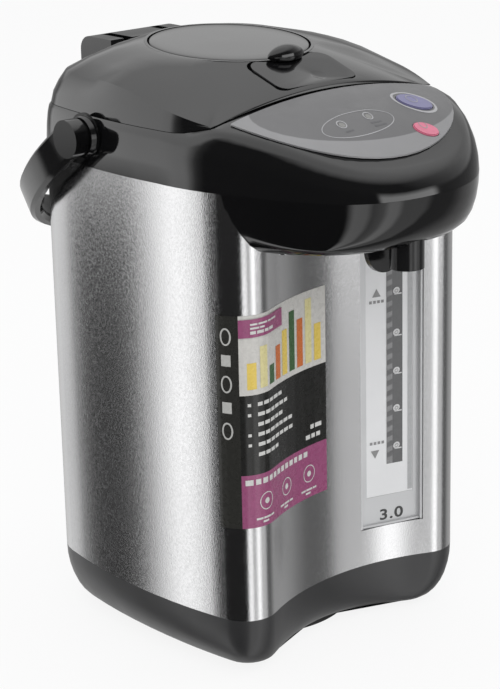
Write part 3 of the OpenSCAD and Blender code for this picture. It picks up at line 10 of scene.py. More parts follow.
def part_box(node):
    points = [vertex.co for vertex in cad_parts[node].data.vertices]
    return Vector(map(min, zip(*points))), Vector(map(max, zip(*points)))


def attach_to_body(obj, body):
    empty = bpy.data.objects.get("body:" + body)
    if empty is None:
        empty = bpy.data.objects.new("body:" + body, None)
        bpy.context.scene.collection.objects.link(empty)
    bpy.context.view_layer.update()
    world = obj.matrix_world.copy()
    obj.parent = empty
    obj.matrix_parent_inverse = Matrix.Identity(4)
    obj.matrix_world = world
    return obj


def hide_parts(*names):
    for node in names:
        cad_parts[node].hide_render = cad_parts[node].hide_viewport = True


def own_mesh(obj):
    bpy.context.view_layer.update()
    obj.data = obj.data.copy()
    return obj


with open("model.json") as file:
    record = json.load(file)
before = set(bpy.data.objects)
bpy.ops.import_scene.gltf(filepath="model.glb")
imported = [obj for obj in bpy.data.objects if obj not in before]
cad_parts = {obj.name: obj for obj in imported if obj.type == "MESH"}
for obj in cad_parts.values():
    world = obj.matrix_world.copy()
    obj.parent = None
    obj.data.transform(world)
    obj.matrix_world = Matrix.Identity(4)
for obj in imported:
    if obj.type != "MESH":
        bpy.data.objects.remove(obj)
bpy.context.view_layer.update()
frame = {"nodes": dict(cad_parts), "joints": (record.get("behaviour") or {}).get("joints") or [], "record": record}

NODES = frame["nodes"]
BODY_OF = {node: body for body, members in frame["record"]["behaviour"]["bodies"].items() for node in members}
WELD, SLIVER = 2e-6, 1e-7  # how near vertices are merged, and how short an edge is dissolved

bl_info = {
    "name": "Thermo pot finishes",
    "version": (1, 0, 0),
    "blender": (4, 5, 0),
    "location": "3D View > Sidebar > Thermo pot",
    "description": "Finishes, prints and studio round the frame of an electric thermo pot",
    "category": "Object",
}


# ---- sizes and colours a user would change ----

class PotSizes(bpy.types.PropertyGroup):
    """Sizes of the printed marks and of the label, in metres"""
    label_low: bpy.props.FloatProperty(
        name="Label foot", description="Height of the side label's lower edge",
        default=0.0870, unit="LENGTH")
    label_high: bpy.props.FloatProperty(
        name="Label head", description="Height of the side label's upper edge",
        default=0.2010, unit="LENGTH")
    print_lift: bpy.props.FloatProperty(
        name="Print thickness", description="How far a print stands proud of what it is on",
        default=0.00012, unit="LENGTH")


class PotColours(bpy.types.PropertyGroup):
    """Colours of the coloured finishes"""
    gloss: bpy.props.FloatVectorProperty(
        name="Gloss black", description="Moulded black plastic of the collar, lid and handle",
        subtype="COLOR", size=3, default=(0.0045, 0.0045, 0.0048))
    satin: bpy.props.FloatVectorProperty(
        name="Satin black", description="Moulded black plastic of the base",
        subtype="COLOR", size=3, default=(0.03, 0.03, 0.031))
    panel: bpy.props.FloatVectorProperty(
        name="Panel", description="Metallic film of the control panel",
        subtype="COLOR", size=3, default=(0.135, 0.135, 0.138))
    panel_edge: bpy.props.FloatVectorProperty(
        name="Panel border", description="Paler border of the control panel",
        subtype="COLOR", size=3, default=(0.245, 0.245, 0.25))
    blue: bpy.props.FloatVectorProperty(
        name="Blue key", description="Colour of the large key",
        subtype="COLOR", size=3, default=(0.17, 0.165, 0.29))
    red: bpy.props.FloatVectorProperty(
        name="Red key", description="Colour of the small key",
        subtype="COLOR", size=3, default=(0.60, 0.17, 0.25))
    magenta: bpy.props.FloatVectorProperty(
        name="Label band", description="Coloured band of the side label",
        subtype="COLOR", size=3, default=(0.28, 0.065, 0.16))


def sizes():
    return bpy.context.scene.pot_sizes


def colours():
    return bpy.context.scene.pot_colours


# ---- working on meshes ----

def activate(piece):
    """Selects one object and nothing else."""
    bpy.ops.object.select_all(action="DESELECT")
    piece.select_set(True)
    bpy.context.view_layer.objects.active = piece


def latest(name):
    """The object that the last operator added, under its own name."""
    piece = bpy.context.object
    piece.name = name
    piece.data.name = name
    return piece


def merged_copy(node, name, angle=32.0):
    """A copy of a CAD node with its loose triangles merged, smooth over all but its real edges."""
    piece = bpy.data.objects.new(name, NODES[node].data.copy())
    bpy.context.scene.collection.objects.link(piece)
    activate(piece)
    bpy.ops.object.mode_set(mode="EDIT")
    bpy.ops.mesh.select_all(action="SELECT")
    bpy.ops.mesh.remove_doubles(threshold=WELD)
    bpy.ops.mesh.dissolve_degenerate(threshold=SLIVER)
    bpy.ops.object.mode_set(mode="OBJECT")
    bpy.ops.mesh.customdata_custom_splitnormals_clear()
    bpy.ops.object.shade_smooth_by_angle(angle=math.radians(angle))
    return piece


def paint(piece, material):
    """Gives a piece one material and no other."""
    piece.data.materials.clear()
    piece.data.materials.append(material)


def dress(piece, node, material):
    """Puts a piece in place of a CAD node: gives it its finish, hangs it on the node's body and hides the node."""
    paint(piece, material)
    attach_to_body(piece, BODY_OF[node])
    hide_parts(node)
    return piece


def attach(piece, node, material=None):
    """Lets a new piece ride with a CAD node that stays shown or is replaced elsewhere."""
    if material is not None:
        paint(piece, material)
    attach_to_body(piece, BODY_OF[node])
    return piece


def slot_of(node):
    return next(s["material_slot"] for s in frame["record"]["subparts"] if s["node"] == node)


def move_points(piece, place):
    """Moves every vertex of a flat shape by a function of its own place."""
    for vertex in piece.data.vertices:
        vertex.co = place(vertex.co)
    piece.data.update()


def settle(piece):
    """Leaves the object at the origin with its place in its mesh."""
    activate(piece)
    bpy.ops.object.transform_apply(location=True, rotation=True, scale=True)
    return piece


def flat_grid(name, x0, x1, y0, y1, cuts_x, cuts_y):
    """A flat rectangle of small squares in the XY plane."""
    bpy.ops.object.select_all(action="DESELECT")
    bpy.ops.mesh.primitive_grid_add(x_subdivisions=cuts_x, y_subdivisions=cuts_y, size=1.0)
    piece = latest(name)
    move_points(piece, lambda p: Vector((x0 + (p.x + 0.5) * (x1 - x0), y0 + (p.y + 0.5) * (y1 - y0), 0.0)))
    return piece


def flat_oval(name, x, y, a, b, turn=0.0, points=40):
    """A flat filled oval in the XY plane."""
    bpy.ops.object.select_all(action="DESELECT")
    bpy.ops.mesh.primitive_circle_add(vertices=points, radius=1.0, fill_type="TRIFAN")
    piece = latest(name)
    activate(piece)
    bpy.ops.object.mode_set(mode="EDIT")
    bpy.ops.mesh.select_all(action="SELECT")
    bpy.ops.mesh.subdivide(number_cuts=2)
    bpy.ops.object.mode_set(mode="OBJECT")
    spin = Matrix.Rotation(turn, 2)
    move_points(piece, lambda p: Vector((*(spin @ Vector((p.x * a, p.y * b)) + Vector((x, y))), 0.0)))
    return piece


def flat_ring(name, x, y, a, b, width, turn=0.0, points=64):
    """A flat ring of even width round an oval."""
    bpy.ops.object.select_all(action="DESELECT")
    bpy.ops.mesh.primitive_circle_add(vertices=points, radius=1.0, fill_type="NOTHING")
    piece = latest(name)
    activate(piece)
    bpy.ops.object.mode_set(mode="EDIT")
    bpy.ops.mesh.select_all(action="SELECT")
    bpy.ops.mesh.extrude_edges_move(TRANSFORM_OT_translate={"value": (0.0, 0.0, 1.0)})
    bpy.ops.object.mode_set(mode="OBJECT")
    spin = Matrix.Rotation(turn, 2)

    def place(p):
        grow = width / 2 if p.z > 0.5 else -width / 2
        return Vector((*(spin @ Vector((p.x * (a + grow), p.y * (b + grow))) + Vector((x, y))), 0.0))

    move_points(piece, place)
    return piece


def face_up(piece, towards):
    """Turns the faces of a thin print so that they look the given way."""
    total = Vector((0.0, 0.0, 0.0))
    for face in piece.data.polygons:
        total += face.normal * face.area
    if total.dot(towards) < 0:
        activate(piece)
        bpy.ops.object.mode_set(mode="EDIT")
        bpy.ops.mesh.select_all(action="SELECT")
        bpy.ops.mesh.flip_normals()
        bpy.ops.object.mode_set(mode="OBJECT")
    return piece


def join(pieces, name):
    """Joins shapes into one piece and keeps each one's material."""
    bpy.ops.object.select_all(action="DESELECT")
    for piece in pieces:
        piece.select_set(True)
    bpy.context.view_layer.objects.active = pieces[0]
    bpy.ops.object.join()
    return latest(name)


# ---- materials ----

def new_material(name, colour, roughness, metallic=0.0, **sockets):
    """A Principled material with its even values set on the shader's own sockets."""
    material = bpy.data.materials.new(name)
    material.use_nodes = True
    tree = material.node_tree
    shader = tree.nodes["Principled BSDF"]
    shader.inputs["Base Color"].default_value = (*colour, 1.0)
    shader.inputs["Roughness"].default_value = roughness
    shader.inputs["Metallic"].default_value = metallic
    for key, value in sockets.items():
        shader.inputs[key.replace("_", " ")].default_value = value
    return material, tree, shader


def object_pattern(tree, scale, stretch=(1.0, 1.0, 1.0), detail=3.0, roughness=0.55):
    """Noise that sits still on the object."""
    coords = tree.nodes.new("ShaderNodeTexCoord")
    mapping = tree.nodes.new("ShaderNodeMapping")
    mapping.inputs["Scale"].default_value = stretch
    noise = tree.nodes.new("ShaderNodeTexNoise")
    noise.inputs["Scale"].default_value = scale
    noise.inputs["Detail"].default_value = detail
    noise.inputs["Roughness"].default_value = roughness
    tree.links.new(coords.outputs["Object"], mapping.inputs["Vector"])
    tree.links.new(mapping.outputs["Vector"], noise.inputs["Vector"])
    return noise.outputs["Fac"]


def ramp(tree, value, stops):
    """A colour ramp with the given places and colours."""
    node = tree.nodes.new("ShaderNodeValToRGB")
    band = node.color_ramp
    while len(band.elements) > 1:
        band.elements.remove(band.elements[-1])
    band.elements[0].position = stops[0][0]
    band.elements[0].color = (*stops[0][1], 1.0)
    for place, colour in stops[1:]:
        band.elements.new(place).color = (*colour, 1.0)
    tree.links.new(value, node.inputs["Fac"])
    return node.outputs["Color"]


def span(tree, value, low, high, start=0.3, end=0.7):
    """Maps a noise value to a range of numbers."""
    node = tree.nodes.new("ShaderNodeMapRange")
    node.inputs["From Min"].default_value = start
    node.inputs["From Max"].default_value = end
    node.inputs["To Min"].default_value = low
    node.inputs["To Max"].default_value = high
    tree.links.new(value, node.inputs["Value"])
    return node.outputs["Result"]


def tint(colour, share):
    return tuple(min(1.0, c * share) for c in colour)


def add_grain(tree, shader, height, strength, distance):
    """Raises a fine grain in a surface."""
    bump = tree.nodes.new("ShaderNodeBump")
    bump.inputs["Strength"].default_value = strength
    bump.inputs["Distance"].default_value = distance
    tree.links.new(height, bump.inputs["Height"])
    tree.links.new(bump.outputs["Normal"], shader.inputs["Normal"])


def finish(name, colour, rough, metallic=0.0, blotch=(18.0, 0.06), gloss=(60.0, 0.04),
           grain=(1500.0, 0.08, 0.00005), stretch=(1.0, 1.0, 1.0), **sockets):
    """A finish with slow colour blotches, uneven gloss and a fine grain in its surface."""
    material, tree, shader = new_material(name, colour, rough, metallic, **sockets)
    tone = ramp(tree, object_pattern(tree, blotch[0]),
                [(0.3, tint(colour, 1 - blotch[1])), (0.7, tint(colour, 1 + blotch[1]))])
    tree.links.new(tone, shader.inputs["Base Color"])
    worn = span(tree, object_pattern(tree, gloss[0]), rough - gloss[1], rough + gloss[1])
    tree.links.new(worn, shader.inputs["Roughness"])
    add_grain(tree, shader, object_pattern(tree, grain[0], stretch, 2.0), *grain[1:])
    return material


PANEL_OVAL = ((0.004, -0.0755), (0.0645, 0.0335))  # the middle and the half sizes of the darker field


def panel_film(name):
    """Metallic film whose border outside a large oval is paler, as printed."""
    middle, halves = PANEL_OVAL
    inner, border = tuple(colours().panel), tuple(colours().panel_edge)
    material, tree, shader = new_material(name, inner, 0.42, 0.35)
    coords = tree.nodes.new("ShaderNodeTexCoord")
    mapping = tree.nodes.new("ShaderNodeMapping")
    mapping.inputs["Location"].default_value = (-middle[0] / halves[0], -middle[1] / halves[1], 0.0)
    mapping.inputs["Scale"].default_value = (1 / halves[0], 1 / halves[1], 0.0)
    length = tree.nodes.new("ShaderNodeVectorMath")
    length.operation = "LENGTH"
    tree.links.new(coords.outputs["Object"], mapping.inputs["Vector"])
    tree.links.new(mapping.outputs["Vector"], length.inputs[0])
    tone = ramp(tree, span(tree, length.outputs["Value"], 0.0, 1.0, 0.9, 1.1), [(0.44, inner), (0.5, border)])
    tree.links.new(tone, shader.inputs["Base Color"])
    worn = span(tree, object_pattern(tree, 90.0), 0.38, 0.46)
    tree.links.new(worn, shader.inputs["Roughness"])
    add_grain(tree, shader, object_pattern(tree, 4000.0), 0.06, 0.00005)
    return material


def slotted_finishes():
    """The finish of each material slot of the record."""
    gloss, satin = tuple(colours().gloss), tuple(colours().satin)
    return {
        "steel": finish("brushed_wall", (0.58, 0.58, 0.585), 0.17, 1.0, (9.0, 0.04), (700.0, 0.05),
                        (1700.0, 0.14, 0.0002), (1.0, 1.0, 0.4)),
        "tank_steel": finish("drawn_tank", (0.6, 0.6, 0.61), 0.3, 1.0, (20.0, 0.04), (80.0, 0.06),
                             (900.0, 0.12, 0.0001), (1.0, 1.0, 0.05)),
        "black_gloss": finish("moulded_gloss", gloss, 0.06, 0.0, (12.0, 0.15), (30.0, 0.03),
                              (2500.0, 0.02, 0.00002), Specular_IOR_Level=0.55),
        "black_base": finish("moulded_satin", satin, 0.34, 0.0, (15.0, 0.08), (40.0, 0.04),
                             (2200.0, 0.12, 0.00004)),
        "black_matte": finish("moulded_matte", (0.009, 0.009, 0.0095), 0.16, 0.0, (15.0, 0.1), (60.0, 0.05),
                              (1800.0, 0.08, 0.00004)),
        "silver_panel": panel_film("panel_film"),
        # The gauge frame and window are their own pale grey and white, painted lighter still: painted light that
        # makes up for the beak's shade over them, and on the window a painted reflection.
        "gauge_grey": finish("gauge_grey", (0.52, 0.525, 0.53), 0.35, 0.2, (20.0, 0.03), (70.0, 0.04),
                             (3000.0, 0.08, 0.00004)),
        "clear_window": finish("clear_window", (0.80, 0.805, 0.81), 0.14, 0.0, (25.0, 0.03), (60.0, 0.03),
                               (900.0, 0.02, 0.00003), Alpha=0.93),
        "blue_plastic": finish("blue_key", tuple(colours().blue), 0.4, 0.0, (200.0, 0.08), (200.0, 0.05),
                               (2500.0, 0.15, 0.00004)),
        "red_plastic": finish("red_key", tuple(colours().red), 0.4, 0.0, (200.0, 0.08), (200.0, 0.05),
                              (2500.0, 0.15, 0.00004)),
        "led_clear": finish("lamp_lens", (0.20, 0.20, 0.19), 0.2, 0.0, (500.0, 0.05), (500.0, 0.05),
                            (3000.0, 0.05, 0.00003)),
        "rubber_black": finish("rubber", (0.018, 0.018, 0.018), 0.75, 0.0, (60.0, 0.15), (90.0, 0.1),
                               (1200.0, 0.4, 0.0001)),
        "silicone": finish("silicone", (0.6, 0.59, 0.55), 0.5, 0.0, (60.0, 0.06), (90.0, 0.06),
                           (900.0, 0.15, 0.0001)),
        "white_plastic": finish("white_moulding", (0.66, 0.65, 0.62), 0.42, 0.0, (40.0, 0.04), (90.0, 0.05),
                                (1800.0, 0.1, 0.00005)),
        "fastener": finish("plated_steel", (0.55, 0.55, 0.57), 0.3, 1.0, (200.0, 0.08), (300.0, 0.08),
                           (2500.0, 0.15, 0.00005)),
        "brass_pin": finish("brass", (0.72, 0.55, 0.26), 0.25, 1.0, (200.0, 0.08), (300.0, 0.06),
                            (2500.0, 0.1, 0.00004)),
        "aluminium_plate": finish("cast_aluminium", (0.52, 0.52, 0.52), 0.48, 1.0, (60.0, 0.08),
                                  (200.0, 0.1), (900.0, 0.3, 0.0001)),
        "circuit_board": finish("board_varnish", (0.03, 0.16, 0.07), 0.35, 0.0, (300.0, 0.3), (300.0, 0.1),
                                (1500.0, 0.2, 0.0001)),
        "ceramic": finish("ceramic", (0.68, 0.66, 0.6), 0.55, 0.0, (100.0, 0.05), (200.0, 0.08),
                          (1500.0, 0.2, 0.0001)),
    }


FINISH = {}


def print_ink(name, colour, rough=0.4):
    """A thin layer of ink with faint mottling."""
    return finish(name, colour, rough, 0.0, (400.0, 0.06), (300.0, 0.05), (3000.0, 0.05, 0.00002))


# ---- finishes on the CAD nodes ----

class POT_OT_finishes(bpy.types.Operator):
    """Give every CAD node the finish of its material slot"""
    bl_idname = "pot.finishes"
    bl_label = "Finishes"

    def execute(self, context):
        FINISH.update(slotted_finishes())
        for node, obj in NODES.items():
            paint(obj, FINISH[slot_of(node)])
        return {"FINISHED"}


# ---- shells that are shown smooth ----

MOULDINGS = {
    "collar": ("collar_moulding", 40.0),
    "beak_cover": ("beak_underside", 40.0),
    "base_pan": ("base_moulding", 40.0),
    "lid_shell": ("lid_moulding", 34.0),
    "hinge_block": ("hinge_housing", 30.0),
    "handle": ("carrying_bail", 36.0),
    "handle_bosses": ("handle_hubs", 30.0),
    "pump_disc": ("press_plate", 30.0),
    "latch_flap": ("lid_release", 30.0),
    "lock_knob": ("lock_slider", 40.0),
    "spout_nozzle": ("outlet_nozzle", 30.0),
    "cup_lever": ("cup_paddle_blade", 30.0),
    "control_fascia": ("panel_plate", 30.0),
    "steel_shell": ("steel_wall", 30.0),
}


class POT_OT_mouldings(bpy.types.Operator):
    """Show the large shells as smooth mouldings"""
    bl_idname = "pot.mouldings"
    bl_label = "Mouldings"

    def execute(self, context):
        for node, (name, angle) in MOULDINGS.items():
            piece = merged_copy(node, name, angle)
            dress(piece, node, FINISH[slot_of(node)])
        return {"FINISHED"}


class POT_OT_keys(bpy.types.Operator):
    """Show the two keys as smooth caps"""
    bl_idname = "pot.keys"
    bl_label = "Keys"

    def execute(self, context):
        for node in ("blue_button", "red_button"):
            piece = merged_copy(node, node.replace("button", "key_cap"), 30.0)
            dress(piece, node, FINISH[slot_of(node)])
        return {"FINISHED"}


class POT_OT_pump(bpy.types.Operator):
    """Show the bellows and the spring as smooth copies, each with a mesh of its own"""
    bl_idname = "pot.pump"
    bl_label = "Air pump"

    def execute(self, context):
        press = next(joint for joint in frame["joints"] if joint["name"] == "air_pump_press")
        upwards = -Vector(press["axis"]).normalized()
        travel = max(press["range_m"])
        for node, name in (("bellows", "air_bellows"), ("pump_spring", "return_spring")):
            piece = merged_copy(node, name, 30.0)
            dress(piece, node, FINISH[slot_of(node)])
            foot = min(piece.data.vertices, key=lambda vertex: vertex.co.dot(upwards))
            tuple(foot.co)
            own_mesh(piece)
        return {"FINISHED"}


# ---- the printed label wrapped on the wall ----

def wall_outline():
    """The outer edge of the steel wall as seen from above, from the front's middle round the viewer's left."""
    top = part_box("steel_shell")[1].z - 1e-4
    points = {(round(v.co.x, 5), round(v.co.y, 5)) for v in NODES["steel_shell"].data.vertices if v.co.z > top}
    by_angle = {}
    for x, y in points:
        angle = round(math.degrees(math.atan2(-x, -y)), 1)
        if angle not in by_angle or math.hypot(x, y) > math.hypot(*by_angle[angle]):
            by_angle[angle] = (x, y)
    left = [by_angle[a] for a in sorted(by_angle) if -1.0 < a < 100.0]
    return [Vector(p) for p in left]


class Wall:
    """Places points by their distance along the wall, leftwards from its front's middle."""

    def __init__(self):
        self.points = wall_outline()
        steps = [0.0]
        for a, b in zip(self.points, self.points[1:]):
            steps.append(steps[-1] + (b - a).length)
        self.steps = steps

    def at(self, distance, height, lift):
        i = max(k for k in range(len(self.steps) - 1) if self.steps[k] <= max(distance, 0.0))
        a, b = self.points[i], self.points[i + 1]
        along = (b - a).normalized()
        share = (distance - self.steps[i]) / (self.steps[i + 1] - self.steps[i])
        p = a + (b - a) * share
        out = Vector((-along.y, along.x))
        if out.dot(p) < 0:
            out = -out
        return Vector((p.x + out.x * lift, p.y + out.y * lift, height))


OUTWARD_PROBE = (0.06, 0.1)  # a place on the label, whose outward side all its prints face


def wrap(piece, wall, lift, material):
    """Wraps a flat shape, drawn with its distance along X and its height along Y, onto the wall."""
    move_points(piece, lambda p: wall.at(p.x, p.y, lift))
    face_up(piece, wall.at(*OUTWARD_PROBE, 1.0) - wall.at(*OUTWARD_PROBE, 0.0))
    paint(piece, material)
    return piece


class POT_OT_label(bpy.types.Operator):
    """Wrap the printed label round the front corner"""
    bl_idname = "pot.label"
    bl_label = "Side label"

    def execute(self, context):
        wall = Wall()
        low, high = sizes().label_low, sizes().label_high
        lift = sizes().print_lift
        right, fold, left = LABEL_EDGES
        band_top, bars_low = low + BAND_HEIGHT, low + BARS_HEIGHT
        inks = {key: print_ink("label_" + key, value, 0.28) for key, value in LABEL_INKS.items()}
        inks["band"] = print_ink("label_band", tuple(colours().magenta), 0.28)
        shapes = []

        def block(x0, x1, z0, z1, layer, ink, cuts=(80, 6)):
            shapes.append(wrap(flat_grid("block", x0, x1, z0, z1, *cuts), wall, layer * lift, inks[ink]))

        def words(x, z, lengths, height, layer, ink):
            """A line of short bars that reads as small print from afar."""
            for length in lengths:
                block(x - length, x, z, z + height, layer, ink, (8, 1))
                x -= length + height * 0.45

        block(right, fold, low, band_top, 1, "band")
        block(right, fold, band_top, bars_low, 1, "ground")
        block(right, fold, bars_low, high, 1, "pale")
        block(fold, left, low, high, 1, "strip", (20, 6))
        for i, (rise, ink) in enumerate(LABEL_BARS):
            x, z = fold - BAR_MARGIN[0] - i * BAR_STEP, bars_low + BAR_MARGIN[1]
            block(x - BAR_WIDTH, x, z, z + rise, 2, ink, (6, 6))
        block(fold - 0.0330, fold, high - 0.0115, high - 0.0020, 5, "band", (14, 3))
        words(fold - 0.0060, high - 0.0052, (0.004, 0.006, 0.003, 0.005), 0.0010, 6, "white")
        words(fold - 0.0060, high - 0.0072, (0.005, 0.003), 0.0010, 6, "white")
        words(fold - 0.0060, high - 0.0098, (0.003, 0.004, 0.003, 0.004), 0.0016, 6, "white")
        for i, (bullet, lengths) in enumerate(LABEL_LINES):
            z = bars_low - LINE_DROP - i * LINE_STEP
            if bullet:
                block(fold - 0.0058, fold - 0.0040, z + 0.0002, z + 0.0018, 2, "white", (2, 1))
            words(fold - 0.0095, z, lengths, 0.0020, 2, "white")
        words(right + 0.0130, band_top + 0.0090, (0.0028, 0.0050), 0.0024, 2, "white")
        words(right + 0.0170, band_top + 0.0038, (0.0036, 0.0030, 0.0030), 0.0024, 2, "white")
        words(fold - 0.0020, band_top - 0.0055, BAND_WORDS, 0.0030, 2, "white")
        for i in range(3):
            x, z = fold - TARGET_START - i * TARGET_STEP, low + TARGET_RISE
            self.target(shapes, wall, x, z, lift, inks["white"])
            words(x + 0.0070, z - 0.0095, (0.0040, 0.0050, 0.0030), 0.0011, 2, "white")
            words(x + 0.0030, z - 0.0115, (0.0040,), 0.0011, 2, "white")
        for i in range(5):
            z = high - MARK_DROP - i * MARK_STEP
            if i % 2:
                block(fold + 0.0040, fold + 0.0092, z - 0.0030, z + 0.0030, 2, "mark", (6, 2))
            else:
                shapes.append(wrap(flat_ring("mark", fold + 0.0066, z, 0.0026, 0.0042, 0.0009, points=24), wall,
                                   2 * lift, inks["mark"]))
        label = join(shapes, "side_label")
        bpy.ops.object.shade_smooth_by_angle(angle=math.radians(30))
        attach(label, "steel_shell")
        return {"FINISHED"}

    def target(self, shapes, wall, x, z, lift, ink):
        """A plain ring with a dot in it."""
        shapes.append(wrap(flat_ring("ring", x, z, 0.0046, 0.0046, 0.0005, points=28), wall, 2 * lift, ink))
        shapes.append(wrap(flat_oval("dot", x, z, 0.0016, 0.0016, 0.0), wall, 2 * lift, ink))


LABEL_EDGES = (0.0078, 0.0800, 0.0924)  # how far round the wall the right edge, the fold and the left edge are
BAND_HEIGHT, BARS_HEIGHT = 0.0290, 0.0720  # from the foot to the top of the band and to the field of bars
BAR_MARGIN, BAR_STEP, BAR_WIDTH = (0.0040, 0.0030), 0.0074, 0.0052
LINE_DROP, LINE_STEP = 0.0062, 0.0054
TARGET_START, TARGET_STEP, TARGET_RISE = 0.0145, 0.0215, 0.0135
MARK_DROP, MARK_STEP = 0.0110, 0.0125
LABEL_INKS = {"ground": (0.006, 0.006, 0.005), "strip": (0.026, 0.026, 0.023), "pale": (0.56, 0.55, 0.52),
              "white": (0.60, 0.60, 0.58), "mark": (0.45, 0.45, 0.43),
              "yellow": (0.70, 0.52, 0.10), "orange": (0.55, 0.14, 0.03), "green": (0.035, 0.10, 0.03),
              "cream": (0.66, 0.60, 0.30)}
BAND_WORDS = (0.0042, 0.0030, 0.0034, 0.0030, 0.0032, 0.0034, 0.0030, 0.0032, 0.0034, 0.0030, 0.0032, 0.0034)
# the plain bars of the upper field, from the fold rightwards: how tall each is, and its ink
LABEL_BARS = (
    (0.014, "yellow"), (0.022, "cream"), (0.010, "green"), (0.018, "orange"), (0.024, "yellow"),
    (0.032, "green"), (0.026, "orange"), (0.035, "cream"), (0.020, "yellow"))
# whether a line has a bullet, and the lengths of its bars
LABEL_LINES = (
    (True, (0.0030, 0.0040, 0.0034, 0.0050, 0.0036)),
    (True, (0.0044, 0.0040, 0.0036, 0.0044, 0.0040, 0.0036)),
    (False, (0.0036, 0.0040, 0.0044, 0.0036, 0.0040)),
    (True, (0.0040, 0.0036, 0.0044, 0.0040, 0.0036, 0.0044, 0.0036)),
    (True, (0.0044, 0.0036, 0.0040, 0.0044, 0.0036, 0.0044, 0.0036)),
    (False, (0.0040, 0.0036, 0.0040, 0.0036)))


# ---- prints on the water gauge ----

class GaugePlane:
    """The flat face of the water gauge: X across it, Y up, and how deep under the wall."""

    def __init__(self):
        flat = np.array([v.co[:2] for v in NODES["gauge_window"].data.vertices])
        middle = Vector(flat.mean(0))
        axes = np.linalg.svd(flat - flat.mean(0))[2]
        self.across = Vector(axes[0]) if axes[0][0] > 0 else -Vector(axes[0])
        self.inward = Vector((-self.across.y, self.across.x))
        sides = [(Vector(p) - middle).dot(self.across) for p in flat]
        depths = [(Vector(p) - middle).dot(self.inward) for p in flat]
        self.face = middle + self.across * (min(sides) + max(sides)) / 2 + self.inward * min(depths)

    def at(self, x, z, out):
        p = self.face + self.across * x - self.inward * out
        return Vector((p.x, p.y, z))

    def lay(self, piece, out, material):
        move_points(piece, lambda p: self.at(p.x, p.y, out))
        face_up(piece, Vector((-self.inward.x, -self.inward.y, 0.0)))
        paint(piece, material)
        return piece


CORNER_REACH = 0.866  # how far a three-cornered circle of radius 1 reaches sideways


def triangle(name, x, z, half, height):
    """A small flat arrow head."""
    bpy.ops.object.select_all(action="DESELECT")
    bpy.ops.mesh.primitive_circle_add(vertices=3, radius=1.0, fill_type="NGON")
    piece = latest(name)
    tip = max(v.co.y for v in piece.data.vertices)
    move_points(piece, lambda p: Vector((x + (p.x / CORNER_REACH) * half,
                                         z + (height if p.y > tip - 0.1 else 0.0), 0.0)))
    return piece


def numeral(name, words, size, x, z):
    """Generic capacity figures, as a flat mesh."""
    bpy.ops.object.select_all(action="DESELECT")
    bpy.ops.object.text_add()
    text = latest(name)
    text.data.body = words
    text.data.size = size
    text.data.align_x = "CENTER"
    text.data.space_character = 1.12
    text.data.offset = size * 0.022
    activate(text)
    bpy.ops.object.convert(target="MESH")
    piece = bpy.context.object
    move_points(piece, lambda p: Vector((x + 1.3 * p.x, z + p.y, 0.0)))
    return piece


STRIP = (-0.0019, 0.0018, 0.0080, 0.0910, 0.2300)  # left, split and right across the face, foot and head
TICKS, TICK_START, TICK_STEP, TICK_SLOPE = 23, 0.0035, 0.0059, 0.30
CURL_HEIGHTS = (0.1001, 0.1218, 0.1432, 0.1648, 0.1881, 0.2100)
LEGEND_HEIGHTS = (0.1835, 0.1034)


class POT_OT_gauge(bpy.types.Operator):
    """Lay the level strip and the printed marks on the water gauge"""
    bl_idname = "pot.gauge"
    bl_label = "Water gauge"

    def execute(self, context):
        plane = GaugePlane()
        lift = sizes().print_lift
        ink = print_ink("gauge_ink", (0.24, 0.24, 0.24))
        tick_ink = print_ink("tick_ink", (0.11, 0.11, 0.112))
        dark = print_ink("gauge_dark", (0.03, 0.03, 0.03))
        white = print_ink("gauge_white", (0.62, 0.62, 0.62))
        clear = print_ink("strip_clear", (0.085, 0.086, 0.088), 0.2)
        side = print_ink("strip_side", (0.21, 0.21, 0.212), 0.25)
        band = print_ink("gauge_band", (0.40, 0.405, 0.41), 0.3)
        left, split, right, low, high = STRIP
        shapes = [
            plane.lay(flat_grid("clear", split, right, low, high, 4, 20), lift, clear),
            plane.lay(flat_grid("side", left, split, low, high, 4, 20), lift, side),
            plane.lay(flat_grid("band", 0.0112, 0.0140, 0.0740, 0.2380, 2, 20), lift, band),
        ]
        for i in range(TICKS):
            z = low + TICK_START + i * TICK_STEP
            tick = flat_grid("tick", left + 0.0004, split, 0.0, 0.0028, 3, 1)
            move_points(tick, lambda p: Vector((p.x, p.y + z + TICK_SLOPE * (p.x - left), 0.0)))
            shapes.append(plane.lay(tick, 2 * lift, tick_ink))
        for z in CURL_HEIGHTS:
            curl = flat_oval("curl", 0.0042, z + 0.0010, 0.0021, 0.0018, 0.5, 20)
            shapes.append(plane.lay(curl, 2 * lift, white))
            eye = flat_ring("eye", 0.0042, z + 0.0009, 0.0010, 0.0008, 0.0003, 0.5, 20)
            shapes.append(plane.lay(eye, 3 * lift, side))
            tail = flat_grid("tail", 0.0030, 0.0074, z - 0.0012, z - 0.0005, 3, 1)
            shapes.append(plane.lay(tail, 2 * lift, white))
        shapes.append(plane.lay(triangle("full", -0.0078, 0.1870, 0.0026, 0.0046), lift, ink))
        shapes.append(plane.lay(triangle("empty", -0.0090, 0.1000, 0.0026, -0.0046), lift, ink))
        for z in LEGEND_HEIGHTS:
            for i in range(4):
                x = -0.0122 + i * 0.0024
                shapes.append(plane.lay(flat_grid("word", x, x + 0.0016, z, z + 0.0016, 2, 1), lift, ink))
        marks = join(shapes, "gauge_marks")
        attach(marks, "gauge_window")
        figures = numeral("capacity_figures", "3.0", 0.0086, 0.0009, 0.0588)
        plane.lay(figures, -0.0001 + lift * 2.5, dark)
        attach(figures, "gauge_frame")
        return {"FINISHED"}


# ---- prints on the control panel ----

def surface_of(node):
    """The faces of a CAD node, for laying prints on."""
    data = NODES[node].data
    return BVHTree.FromPolygons([v.co for v in data.vertices], [p.vertices for p in data.polygons])


